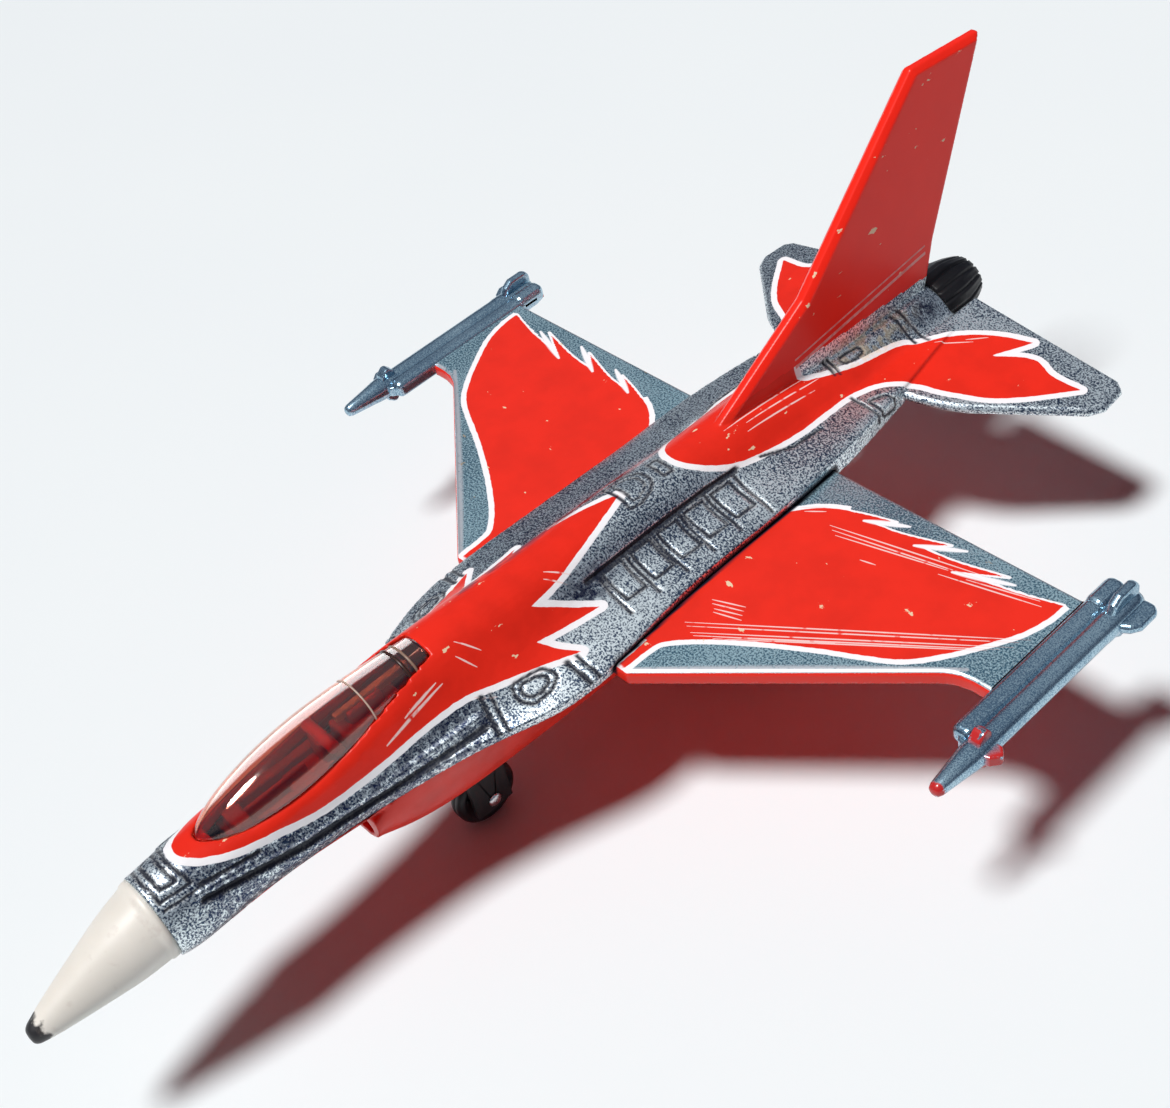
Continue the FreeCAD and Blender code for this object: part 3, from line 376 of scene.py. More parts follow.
def closed_mesh(name, points, faces, smooth=True):
    """A mesh object whose open rings are capped and whose faces all look outwards."""
    obj = mesh_object(name, points, faces)
    with edited(obj) as shell:
        bmesh.ops.remove_doubles(shell, verts=shell.verts, dist=WELD * MM)
        rims = [e for e in shell.edges if e.is_boundary]
        if rims:
            bmesh.ops.holes_fill(shell, edges=rims)
        bmesh.ops.recalc_face_normals(shell, faces=shell.faces)
    shade(obj, smooth)
    return obj


def soften(obj, width, segments=3):
    """Rounds the piece's sharp edges and keeps its flats flat."""
    edge = obj.modifiers.new("Round", "BEVEL")
    edge.width = width * MM
    edge.segments = segments
    edge.limit_method = "ANGLE"
    edge.angle_limit = math.radians(35)
    obj.modifiers.new("Flats", "WEIGHTED_NORMAL").keep_sharp = True
    return applied(obj)


def block_faces():
    """Faces of a block whose lower four points come before its upper four."""
    return [(3, 2, 1, 0), (4, 5, 6, 7)] + [(i, (i + 1) % 4, 4 + (i + 1) % 4, 4 + i) for i in range(4)]


def rounded_box(name, low, high, width, taper=1.0, segments=3):
    """A softly edged block between two corners; taper narrows its top across X."""
    points = []
    for z, scale in ((low[2], 1.0), (high[2], taper)):
        middle = (low[0] + high[0]) / 2
        for x, y in ((low[0], low[1]), (high[0], low[1]), (high[0], high[1]), (low[0], high[1])):
            points.append((middle + scale * (x - middle), y, z))
    return soften(mesh_object(name, points, block_faces(), smooth=False), width, segments)


def joined(name, pieces):
    """Joins pieces into the first and renames it."""
    bpy.ops.object.select_all(action="DESELECT")
    for piece in pieces:
        piece.select_set(True)
    bpy.context.view_layer.objects.active = pieces[0]
    bpy.ops.object.join()
    pieces[0].name = name
    pieces[0].data.name = name
    return pieces[0]


# ------------------------------------------------------------------ materials


class Graph:
    """Short steps for a tree of nodes."""

    def __init__(self, tree):
        self.nodes, self.links = tree.nodes, tree.links

    def feed(self, socket, value):
        """Links a socket to the input, or sets the input to a value."""
        if isinstance(value, bpy.types.NodeSocket):
            self.links.new(value, socket)
        elif isinstance(value, tuple) and len(value) == 3 and socket.type == "RGBA":
            socket.default_value = (*value, 1.0)
        else:
            socket.default_value = value

    def math(self, operation, a, b=0.0, clamp=False):
        node = self.nodes.new("ShaderNodeMath")
        node.operation = operation
        node.use_clamp = clamp
        self.feed(node.inputs[0], a)
        self.feed(node.inputs[1], b)
        return node.outputs[0]

    def times(self, a, b):
        return self.math("MULTIPLY", a, b)

    def most(self, a, b):
        return self.math("MAXIMUM", a, b)

    def unless(self, a, share=1.0):
        """The share that is left where a is not."""
        return self.math("SUBTRACT", share, a, clamp=True)

    def vector(self, operation, *values):
        node = self.nodes.new("ShaderNodeVectorMath")
        node.operation = operation
        for socket, value in zip(node.inputs, values):
            self.feed(socket, value)
        return node

    def ramp(self, value, low, high, to_low=0.0, to_high=1.0):
        """Maps low..high onto to_low..to_high, smoothly and without going past either."""
        node = self.nodes.new("ShaderNodeMapRange")
        node.interpolation_type = "SMOOTHSTEP"
        self.feed(node.inputs["Value"], value)
        limits = {"From Min": low, "From Max": high, "To Min": to_low, "To Max": to_high}
        for socket, number in limits.items():
            self.feed(node.inputs[socket], number)
        return node.outputs[0]

    def mix(self, share, a, b):
        """Colour a, turning into colour b as share goes from 0 to 1."""
        node = self.nodes.new("ShaderNodeMix")
        node.data_type = "RGBA"
        self.feed(node.inputs["Factor"], share)
        self.feed(node.inputs["A"], a)
        self.feed(node.inputs["B"], b)
        return node.outputs["Result"]


class Recipe(Graph):
    """Builds one material in short steps."""

    def __init__(self, name):
        self.material = bpy.data.materials.new(name)
        self.material.use_nodes = True
        super().__init__(self.material.node_tree)
        self.shader = self.nodes["Principled BSDF"]
        self.place = self.nodes.new("ShaderNodeTexCoord").outputs["Object"]

    def set(self, **inputs):
        """Feeds the shader's inputs, named with _ for each space."""
        for name, value in inputs.items():
            self.feed(self.shader.inputs[name.replace("_", " ")], value)

    def attribute(self, name):
        """A number kept for each vertex."""
        node = self.nodes.new("ShaderNodeAttribute")
        node.attribute_name = name
        return node.outputs["Fac"]

    def noise(self, size, detail=3.0, rough=0.5, stretch=(1, 1, 1)):
        """Noise whose lumps are about size millimetres across, stretched along the axes."""
        scale = tuple(1 / (s * size * MM) for s in stretch)
        node = self.nodes.new("ShaderNodeTexNoise")
        node.inputs["Scale"].default_value = 1.0
        node.inputs["Detail"].default_value = detail
        node.inputs["Roughness"].default_value = rough
        self.links.new(self.vector("MULTIPLY", self.place, scale).outputs[0], node.inputs["Vector"])
        return node.outputs[0]

    def waver(self, value, noise, amount):
        """The value, raised where the noise is high and lowered where it is low."""
        return self.math("ADD", value, self.times(self.math("SUBTRACT", noise, 0.5), amount))

    def bump(self, height, distance, strength=1.0):
        """Fine relief of the given height in millimetres."""
        node = self.nodes.new("ShaderNodeBump")
        node.inputs["Strength"].default_value = strength
        node.inputs["Distance"].default_value = distance * MM
        self.links.new(height, node.inputs["Height"])
        self.links.new(node.outputs[0], self.shader.inputs["Normal"])

    def scratch(self, start, end, half):
        """From 0 to 1 on a scratch between two points of the plan, thinner at its ends."""
        node = self.nodes.new("ShaderNodeGroup")
        node.node_tree = bpy.data.node_groups.get(SCRATCH_GROUP) or scratch_group()
        self.links.new(self.place, node.inputs["Place"])
        node.inputs["Start"].default_value = (start[0] * MM, start[1] * MM, 0)
        node.inputs["Run"].default_value = ((end[0] - start[0]) * MM, (end[1] - start[1]) * MM, 0)
        node.inputs["Half"].default_value = half * MM
        return node.outputs[0]

    def scratches(self, runs, half=0.06):
        """From 0 to 1 on any of the scratches."""
        total = self.scratch(*runs[0], half)
        for start, end in runs[1:]:
            total = self.most(total, self.scratch(start, end, half))
        return total


SCRATCH_GROUP = "PlanScratch"


def scratch_group():
    """A node group: how much a place, seen in plan, lies on the segment Start to Start + Run."""
    group = bpy.data.node_groups.new(SCRATCH_GROUP, "ShaderNodeTree")
    for label, kind in (("Place", "NodeSocketVector"), ("Start", "NodeSocketVector"),
                        ("Run", "NodeSocketVector"), ("Half", "NodeSocketFloat")):
        group.interface.new_socket(label, in_out="INPUT", socket_type=kind)
    group.interface.new_socket("Mark", in_out="OUTPUT", socket_type="NodeSocketFloat")
    g = Graph(group)
    source = g.nodes.new("NodeGroupInput").outputs
    result = g.nodes.new("NodeGroupOutput").inputs
    run = source["Run"]
    flat = g.vector("MULTIPLY", source["Place"], (1, 1, 0)).outputs[0]
    offset = g.vector("SUBTRACT", flat, source["Start"]).outputs[0]
    reach = g.vector("DOT_PRODUCT", offset, run).outputs["Value"]
    long = g.vector("DOT_PRODUCT", run, run).outputs["Value"]
    share = g.math("DIVIDE", reach, long, clamp=True)
    nearest = g.vector("SCALE", run)
    g.feed(nearest.inputs["Scale"], share)
    gap = g.vector("SUBTRACT", offset, nearest.outputs[0]).outputs[0]
    distance = g.vector("LENGTH", gap).outputs["Value"]
    taper = g.times(share, g.unless(share))
    swell = g.math("ADD", g.times(taper, 3.0), 0.5)
    width = g.times(source["Half"], swell)
    level = g.math("SUBTRACT", 1.0, g.math("DIVIDE", distance, width), clamp=True)
    g.feed(result[0], g.math("MULTIPLY", level, 2.0, clamp=True))
    return group


RED = (0.80, 0.026, 0.012)
WHITE = (0.90, 0.93, 0.97)
SILVER_PALE = (0.88, 0.96, 0.98)
SILVER_DEEP = (0.05, 0.08, 0.14)
TEAL_PALE = (0.60, 0.85, 0.92)
TEAL_DEEP = (0.09, 0.21, 0.30)
CHIP = (0.78, 0.62, 0.42)
SCUFF = (0.90, 0.72, 0.70)
# Painted shade: the near-black put into engraved lines and along the joints between parts.
GAP_SHADE = (0.010, 0.013, 0.025)

# Half the width of the soft edge between two paints.
EDGE = 0.03


def flake(r, pale, deep, size=0.16):
    """Metallic paint full of coarse flakes, pale and dark grains side by side."""
    grain = r.noise(size, 2.0, 0.6)
    level = r.waver(grain, r.noise(7.0, 2.0, 0.5), 0.25)
    return r.mix(r.ramp(level, 0.40, 0.58), deep, pale), grain


def uneven(r, colour, fade, size=3.0, high=0.8):
    """The colour with slightly darker patches."""
    return r.mix(r.ramp(r.noise(size), 0.3, high), colour, tuple(fade * c for c in colour))


def flame_masks(r, trim):
    """Where the red is and where the white trim reaches, from the 'livery' distance."""
    depth = r.waver(r.attribute("livery"), r.noise(0.7, 3.0), 0.16)
    return r.ramp(depth, -EDGE, EDGE), r.ramp(depth, -trim - EDGE, -trim + EDGE)


def wear_and_shade_on_cast(r, colour, is_red, is_painted):
    """Chips in the red and rubbed patches in the silver; darker patches, painted shade on the nose's sides,
    and maroon streaks with painted shade on the starboard flank.
    """
    chips = r.ramp(r.noise(0.9, 4.0, 0.6, stretch=(1.0, 2.2, 1.0)), 0.685, 0.705)
    colour = r.mix(r.times(chips, is_red), colour, CHIP)
    # Darker patches, and painted shade on the nose's sides, both in dark navy.
    dark_patch_and_shade = r.times(r.attribute("dark_patch_and_shade"), r.ramp(r.noise(0.5, 3.0), 0.35, 0.6))
    dark_patch_and_shade = r.times(dark_patch_and_shade, r.unless(is_painted))
    colour = r.mix(r.times(dark_patch_and_shade, 0.9), colour, (0.012, 0.018, 0.07))
    rubbed = r.times(r.attribute("foot"), r.ramp(r.noise(0.8, 4.0), 0.42, 0.56))
    rubbed = r.times(rubbed, r.unless(is_red))
    colour = r.mix(r.times(rubbed, 0.7), colour, (0.90, 0.74, 0.50))
    # Maroon streaks on the starboard flank only: partly streaks on the paint, partly painted shade on the
    # side turned away.
    streak_and_shade = r.ramp(r.noise(0.55, 2.0, 0.5, stretch=(1.0, 3.5, 1.0)), 0.44, 0.50)
    return r.mix(r.times(r.attribute("streak_and_shade"), streak_and_shade), colour, (0.20, 0.012, 0.035))


def cast_paint():
    """Silver flake with the red flame, its white trim, the red fin lightened as painted light, wear,
    painted shade on the nose's sides and starboard flank, and painted shade in engraved lines and joints.
    """
    r = Recipe("cast_paint")
    base, grain = flake(r, SILVER_PALE, SILVER_DEEP)
    is_red, is_trim = flame_masks(r, BODY_TRIM)
    fin = r.ramp(r.attribute("fin"), 0.45, 0.55)
    is_red = r.most(is_red, fin)
    is_painted = r.most(is_red, is_trim)
    colour = r.mix(is_trim, base, WHITE)
    colour = r.mix(is_red, colour, uneven(r, RED, 0.86))
    # Painted light: the fin's red is mixed lighter than the flame's red, standing for light on the fin's
    # sides.
    colour = r.mix(fin, colour, r.mix(r.noise(3.0), (0.95, 0.026, 0.012), (0.86, 0.020, 0.010)))
    colour = wear_and_shade_on_cast(r, colour, is_red, is_painted)
    marks = r.times(r.scratches(BODY_SCRATCHES), r.ramp(r.noise(0.9, 2.0), 0.30, 0.46))
    colour = r.mix(r.times(marks, 0.9), colour, SCUFF)
    # Painted shade: engraved lines and the skin beside the wing and belly turn near-black and lose their
    # metal.
    groove = r.attribute("groove")
    colour = r.mix(r.math("MULTIPLY", groove, 0.95, clamp=True), colour, GAP_SHADE)
    dull = r.most(is_painted, groove)
    metal = r.times(r.unless(dull), 0.96)
    r.set(Base_Color=colour, Metallic=metal, Roughness=r.ramp(dull, 0.0, 1.0, 0.40, 0.30))
    r.set(Specular_IOR_Level=0.2)
    r.bump(r.math("ADD", r.times(grain, 0.6), r.noise(1.6, 2.0)), 0.012, 0.6)
    return r.material


def plastic(name, colour, rough=0.35, dust=0.06):
    """Moulded plastic: slightly uneven colour, a fine skin and rubbed patches."""
    r = Recipe(name)
    rubbed = r.ramp(r.noise(0.8, 5.0, 0.65), 0.62, 0.8, 0.0, dust)
    tone = r.mix(rubbed, uneven(r, colour, 0.82, 4.0, 0.7), (0.8, 0.78, 0.75))
    r.set(Base_Color=tone, Roughness=r.ramp(r.noise(1.2, 4.0), 0.3, 0.7, rough, rough + 0.14))
    r.set(Specular_IOR_Level=0.35)
    r.bump(r.noise(0.35, 3.0), 0.008, 0.5)
    return r.material


def cream_cone():
    """Cream plastic that darkens towards a worn, blackened tip."""
    r = Recipe("cream_cone")
    colour = r.mix(r.ramp(r.noise(5.0), 0.3, 0.7), (0.80, 0.79, 0.73), (0.73, 0.72, 0.66))
    tip = r.waver(r.attribute("tip"), r.noise(0.9), 1.6)
    colour = r.mix(r.ramp(tip, 0.9, 1.25, 1.0, 0.0), colour, (0.02, 0.02, 0.022))
    grime = r.ramp(r.noise(1.4, 4.0), 0.60, 0.72, 0.0, 0.25)
    colour = r.mix(grime, colour, (0.45, 0.38, 0.33))
    r.set(Base_Color=colour, Roughness=0.42)
    r.set(Subsurface_Weight=0.05, Subsurface_Radius=(0.001, 0.0007, 0.0005))
    r.bump(r.noise(0.5, 3.0), 0.01, 0.5)
    return r.material


def steel(name):
    """Drawn steel wire, brighter and darker along its length."""
    r = Recipe(name)
    line = r.noise(0.2, 2.0, 0.5, stretch=(8, 1, 1))
    r.set(Base_Color=r.mix(line, (0.55, 0.55, 0.57), (0.78, 0.78, 0.79)), Metallic=1.0)
    r.set(Roughness=r.ramp(line, 0.3, 0.7, 0.18, 0.36))
    return r.material


def tinted_glass():
    """Amber clear plastic, cloudy with fine wear."""
    r = Recipe("amber_clear")
    haze = r.ramp(r.noise(2.6, 4.0, 0.6, stretch=(1, 3, 1)), 0.42, 0.7, 0.02, 0.10)
    r.set(Base_Color=(0.84, 0.33, 0.22), Roughness=haze, IOR=1.5, Transmission_Weight=1.0)
    r.set(Coat_Weight=0.8, Coat_Roughness=0.0, Coat_IOR=1.7)
    return r.material


# ------------------------------------------------------------------ pieces


def place(piece, material, node=None, body="airframe"):
    """Puts a material on a piece, ties it to its body and hides the CAD node it stands for."""
    piece.data.materials.clear()
    piece.data.materials.append(material)
    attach(piece, body)
    if node:
        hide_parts(node)


# Scratches on the body, in plan: two ends each.
BODY_SCRATCHES = (
    ((1.9, -12.2), (3.1, -10.9)), ((2.6, -12.8), (3.6, -11.9)), ((3.2, -14.8), (3.6, -20.8)),
    ((3.0, -15.2), (3.3, -18.6)), ((1.6, -3.0), (2.7, -1.4)), ((2.0, -3.4), (3.0, -2.1)),
    ((4.6, -13.4), (5.4, -12.0)), ((1.5, 19.5), (1.7, 28.0)), ((2.1, 19.0), (2.3, 26.8)),
    ((4.8, 39.2), (7.0, 41.6)), ((6.4, 41.4), (7.6, 42.9)), ((0.9, 17.5), (1.0, 27.0)),
)

# Darkened patches in the silver: distance down from the crest, y and size.
DARK_PATCHES = ((2.6, 41.2, 1.7), (6.2, -1.4, 2.3), (5.2, 0.6, 1.3))


# Height of the casting's middle, which its outer skin faces away from, and of its lower edge.
CAST_HUB_Z = 14.6
CAST_LOW_Z = 12.9


def near_node(points, node, reach):
    """From 1 on the surface of a CAD node down to 0 at reach millimetres from it."""
    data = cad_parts[node].data
    tree = BVHTree.FromPolygons([v.co for v in data.vertices], [tuple(p.vertices) for p in data.polygons])
    low, high = (np.array(c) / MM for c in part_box(node))
    out = np.zeros(len(points))
    for i in np.nonzero(np.all((points > low - reach) & (points < high + reach), axis=1))[0]:
        hit = tree.find_nearest(Vector(points[i]) * MM, reach * MM)
        if hit[0] is not None:
            out[i] = 1 - hit[3] / (reach * MM)
    return out


def grown_from(low, high, values):
    """From 0 at low to 1 at high."""
    return np.clip((values - low) / (high - low), 0, 1)


def wear_and_shade_masks(piece, points, spots):
    """Keeps where the silver has darker patches or painted shade on the nose's sides, where it is rubbed,
    and where it is streaked with painted shade on the starboard flank.
    """
    blobs = [np.hypot(spots[:, 0] - u, spots[:, 1] - y) / size for u, y, size in DARK_PATCHES]
    # Painted shade: the silver on the nose's sides is darkened towards navy.
    flank = 0.85 * grown_from(-39.5, -36.5, spots[:, 1]) * grown_from(13.4, 13.7, -spots[:, 1])
    store(piece, "dark_patch_and_shade", np.maximum(np.clip(1.3 - np.min(blobs, axis=0), 0, 1), flank))
    foot = np.hypot((spots[:, 0] - 2.0) / 1.7, (spots[:, 1] - 34.5) / 5.0)
    store(piece, "foot", np.clip(1.4 - foot, 0, 1))
    # Starboard flank only: streaks, partly painted shade on the side turned away.
    streak_and_shade = np.clip(1 - np.abs(spots[:, 0] - 3.0 - 0.02 * spots[:, 1]) / 1.6, 0, 1)
    streak_and_shade *= (points[:, 0] < -0.6) & (spots[:, 1] > -9.0) & (spots[:, 1] < 10.0)
    store(piece, "streak_and_shade", np.clip(1.6 * streak_and_shade, 0, 1))


def casting():
    """The zinc upper body: engraved skin, fin and tailplanes, with its flame livery."""
    piece = dense_skin("upper_casting", "casting_skin", 0.17)
    points = vertices_mm(piece)
    normals = vertex_rows(piece, "normal")
    spots = skin_coordinates(points)
    outward = normals[:, 0] * points[:, 0] + normals[:, 2] * (points[:, 2] - CAST_HUB_Z)
    outer = (outward > 0.3) & (points[:, 2] > CAST_LOW_Z)
    on_fin = (np.abs(points[:, 0]) < 0.9) & (spots[:, 0] < -0.35) & (points[:, 1] > 16.5)
    where = outer & ~on_fin & (normals[:, 2] > -0.2)
    shift = carve(piece, spots, CAST_MARKS, where)
    shift += carve(piece, spots, hatch_row(), where & (points[:, 0] > 0))
    store(piece, "livery", np.maximum(depth_inside(spots, COLLAR), depth_inside(spots, SADDLE)))
    store(piece, "fin", on_fin)
    wear_and_shade_masks(piece, points, spots)
    # Painted shade: the skin darkens next to the wing and the belly, and in its engraved lines.
    seam = np.maximum(near_node(points, "wing_moulding", 0.55), near_node(points, "belly_moulding", 0.3))
    cut = np.clip(-shift / 0.05, 0, 1) ** 1.2
    store(piece, "groove", np.maximum(cut, np.clip(2.5 * seam, 0, 1)))
    place(piece, cast_paint(), "upper_casting")


def fin_stripes():
    """A plain double pinstripe, low on each side of the fin."""
    parts = []
    for side in (1, -1):
        for lift, wide in ((0.0, 0.30), (0.75, 0.16)):
            parts.append(ribbon(side * 0.752, (26.4, 20.9 + lift), (43.2, 22.4 + lift), wide))
    r = Recipe("pink_print")
    r.set(Base_Color=r.mix(r.ramp(r.noise(0.6), 0.4, 0.6), (0.80, 0.34, 0.32), (0.70, 0.20, 0.18)))
    r.set(Roughness=0.4)
    place(joined("fin_stripes", parts), r.material)


def ribbon(x, start, end, width):
    """A thin printed line on the side of the fin, between two (y, z) points."""
    (y0, z0), (y1, z1) = start, end
    long = math.hypot(y1 - y0, z1 - z0)
    ny, nz = -(z1 - z0) / long * width / 2, (y1 - y0) / long * width / 2
    out = x + math.copysign(0.012, x)
    low = x - math.copysign(0.01, x)
    face = [(y0 + ny, z0 + nz), (y1 + ny, z1 + nz), (y1 - ny, z1 - nz), (y0 - ny, z0 - nz)]
    points = [(low, y, z) for y, z in face] + [(out, y, z) for y, z in face]
    return closed_mesh("ribbon", points, block_faces(), smooth=False)


# The missile's axis, and the wing's edge beside the launch rail.
MISSILE_X = 34.35
MISSILE_Z = 15.3
RAIL_IN = 32.15

WING_SCRATCHES = (
    ((10.1, 2.9), (31.4, 17.2)), ((10.5, 2.7), (30.9, 16.5)), ((11.2, 2.4), (30.9, 15.9)),
    ((11.6, 2.3), (30.2, 15.1)), ((13.0, 3.0), (29.6, 14.5)), ((12.0, 2.6), (20.5, 8.3)),
    ((10.1, 5.9), (12.7, 6.9)), ((10.4, 5.6), (12.9, 6.5)), ((10.9, 5.3), (13.1, 6.1)),
    ((11.1, 5.0), (13.4, 5.7)), ((8.6, 17.6), (10.4, 19.0)), ((9.2, 17.5), (10.6, 18.5)),
    ((11.9, 17.5), (24.8, 20.3)), ((12.4, 17.2), (25.0, 19.9)), ((13.0, 16.9), (22.5, 19.2)),
    ((22.0, 18.4), (30.0, 20.3)), ((16.3, 16.0), (17.6, 16.3)), ((24.0, 19.2), (29.6, 20.7)),
)


def both_sides(*runs):
    """The runs and their mirror images."""
    return runs + tuple(((-ax, ay), (-bx, by)) for (ax, ay), (bx, by) in runs)


# White licks in the notches of the flame, and a painted highlight along the front edge.
WING_TONGUES = both_sides(
    ((13.7, 19.5), (17.0, 21.1)), ((18.6, 19.7), (22.2, 21.6)), ((22.7, 19.2), (27.2, 20.9)),
)
FRONT_EDGE_HIGHLIGHT = both_sides(((9.0, -4.1), (29.6, 12.2)))


def wing():
    """The wing moulding between the rails, red below and painted above."""
    piece = dense_skin("wing_moulding", "wing_skin", 0.19)
    drop_vertices(piece, np.abs(vertices_mm(piece)[:, 0]) > RAIL_IN)
    points = vertices_mm(piece)
    normals = vertex_rows(piece, "normal")
    spots = np.stack([np.abs(points[:, 0]), points[:, 1]], axis=1)
    depth = depth_inside(spots, WING_FLAME)
    behind = spots[:, 1] > 14.5 + 0.22 * spots[:, 0]
    depth = np.where(behind & (depth < 0) & (spots[:, 0] > 12.0), 3.2 * depth, depth)
    store(piece, "livery", np.where(points[:, 2] > 15.0, depth, -3.0))
    store(piece, "top", np.clip((normals[:, 2] - 0.55) / 0.2, 0, 1))
    # Where the top slopes: marked for a painted highlight.
    store(piece, "slope_highlight", (normals[:, 2] > 0.3) & (normals[:, 2] < 0.97))
    # Painted shade along the joint with the casting.
    store(piece, "groove", np.clip(2.5 * near_node(points, "upper_casting", 0.3), 0, 1))
    place(piece, wing_paint(), "wing_moulding")


def wing_paint():
    """Teal flake with the red flame on top, over red plastic that shows at the edges and below, with
    painted highlights on the front and sloped edges and painted shade at the joint with the body.
    """
    r = Recipe("wing_paint")
    base, grain = flake(r, TEAL_PALE, TEAL_DEEP)
    top = r.ramp(r.attribute("top"), 0.4, 0.6)
    is_red, is_trim = flame_masks(r, WING_TRIM)
    is_trim = r.times(is_trim, top)
    colour = r.mix(is_trim, base, WHITE)
    colour = r.mix(is_red, colour, uneven(r, RED, 0.88))
    tongue = r.scratches(WING_TONGUES, 0.30)
    colour = r.mix(tongue, colour, WHITE)
    # Painted highlight: a pale silver band along the wing's front edge.
    front_highlight = r.times(r.scratches(FRONT_EDGE_HIGHLIGHT, 0.42), r.ramp(r.noise(0.3, 2.0), 0.25, 0.5, 0.5, 1.0))
    colour = r.mix(front_highlight, colour, (0.93, 0.97, 1.0))
    chips = r.ramp(r.noise(1.2, 4.0, 0.6, stretch=(1.6, 1.0, 1.0)), 0.69, 0.71)
    colour = r.mix(r.times(chips, top), colour, CHIP)
    marks = r.times(r.scratches(WING_SCRATCHES, 0.07), r.ramp(r.noise(1.0, 2.0), 0.28, 0.42))
    colour = r.mix(r.times(marks, 0.85), colour, SCUFF)
    # Painted highlight: the sloped edges of the top turn pale grey in patches.
    slope_highlight = r.times(r.attribute("slope_highlight"), r.ramp(r.noise(1.2, 3.0), 0.30, 0.5))
    colour = r.mix(r.times(slope_highlight, 0.8), colour, (0.86, 0.88, 0.90))
    colour = r.mix(top, RED, colour)
    # Painted shade at the joint with the casting.
    colour = r.mix(r.attribute("groove"), colour, GAP_SHADE)
    bare = r.most(tongue, r.most(is_red, is_trim))
    bare = r.unless(bare, top)
    r.set(Base_Color=colour, Metallic=r.times(bare, 0.85), Roughness=0.34)
    r.set(Specular_IOR_Level=0.32)
    r.bump(r.math("ADD", r.times(grain, 0.5), r.noise(1.8, 2.0)), 0.012, 0.5)
    return r.material


def launcher(side):
    """A round-backed launch rail with a turned missile beside it, all softened like a moulding."""
    name = "missile_port" if side > 0 else "missile_starboard"
    x = side * MISSILE_X
    profile = [(2.52, 0.02), (2.55, 0.26), (2.66, 0.46), (3.0, 0.60), (4.2, 0.75), (5.4, 0.90),
               (6.2, 1.02), (6.7, 1.06), (7.6, 1.06), (8.4, 1.02), (21.0, 1.02), (21.4, 1.06),
               (24.9, 1.06), (25.35, 0.98), (25.7, 0.78), (25.78, 0.02)]
    parts = [lathe(name, profile, 48, (x, 0, MISSILE_Z))]
    low, high = sorted((side * 32.0, side * 33.72))
    parts.append(rounded_box("rail", (low, 7.25, 14.62), (high, 25.2, 16.28), 0.62, segments=6))
    parts.append(rounded_box("rail_end", (low, 22.4, 14.7), (high, 25.75, 16.55), 0.7, segments=6))
    for front, long, span, sweep, wide in ((6.7, 1.7, 3.7, 0.35, 1.0), (22.0, 3.7, 4.4, 0.9, 0.85)):
        for turn in range(4):
            parts.append(missile_fin(x, front, long, span / 2, sweep, turn, wide))
    piece = joined(name, parts)
    points = vertices_mm(piece)
    away = np.hypot(points[:, 0] - x, points[:, 2] - MISSILE_Z)
    store(piece, "tip", np.clip(points[:, 1] - 2.5, 0, 40))
    store(piece, "worn", (np.abs(points[:, 1] - 7.6) < 1.1) & (away > 1.3) & (points[:, 0] > 33.6))
    place(piece, missile_paint(f"{name}_paint", 1.0 if side > 0 else 0.0))


def missile_paint(name, tip_wear):
    """Smooth blue-grey metal, worn to the red plastic at the fins and, if asked, at the tip."""
    r = Recipe(name)
    base, grain = flake(r, (0.50, 0.68, 0.78), (0.16, 0.28, 0.40), 0.10)
    tip = r.waver(r.attribute("tip"), r.noise(0.5), 1.0)
    worn = r.most(r.ramp(tip, 0.55, 0.75, tip_wear, 0.0), r.attribute("worn"))
    worn = r.times(worn, r.ramp(r.noise(0.6), 0.34, 0.42))
    r.set(Base_Color=r.mix(worn, base, (0.50, 0.02, 0.02)), Roughness=0.22)
    r.set(Metallic=r.times(r.unless(worn), 0.92))
    r.bump(grain, 0.006, 0.4)
    return r.material


def missile_fin(x, front, long, reach, sweep, turn, wide):
    """One trapezoid blade standing out from the body, turned by quarter turns."""
    half = wide / 2
    back = front + long
    nip = min(0.5, 0.3 * long)
    edge = [(front, 0.6), (front + 0.7 * sweep, reach - nip), (front + sweep + nip, reach),
            (back - nip, reach), (back, reach - nip), (back, 0.6)]
    points = []
    for across in (-half, half):
        for y, r in edge:
            spot = Matrix.Rotation(turn * math.pi / 2, 3, "Y") @ Vector((across, 0, r))
            points.append((x + spot.x, y, MISSILE_Z + spot.z))
    n = len(edge)
    faces = [tuple(range(n)), tuple(reversed(range(n, 2 * n)))]
    faces += [(i, n + i, n + (i + 1) % n, (i + 1) % n) for i in range(n)]
    return soften(closed_mesh("blade", points, faces, smooth=False), 0.42 * wide, 5)


# The canopy's shape: y, half-width of its sill, height of its sill and of its crest.
CANOPY = (
    (-35.15, 0.35, 19.42, 19.65), (-34.2, 1.25, 19.32, 20.35), (-32.0, 2.10, 19.22, 21.25),
    (-28.5, 2.65, 19.27, 22.10), (-24.5, 2.75, 19.72, 22.43), (-20.3, 2.45, 20.27, 22.33),
    (-17.0, 2.05, 20.67, 22.13), (-14.25, 1.60, 21.02, 21.93),
)
FRAME_Y = -20.3


def canopy_at(y):
    """The canopy's half-width, sill and crest at y."""
    ys = [s[0] for s in CANOPY]
    return [float(np.interp(y, ys, [s[k] for s in CANOPY])) for k in (1, 2, 3)]


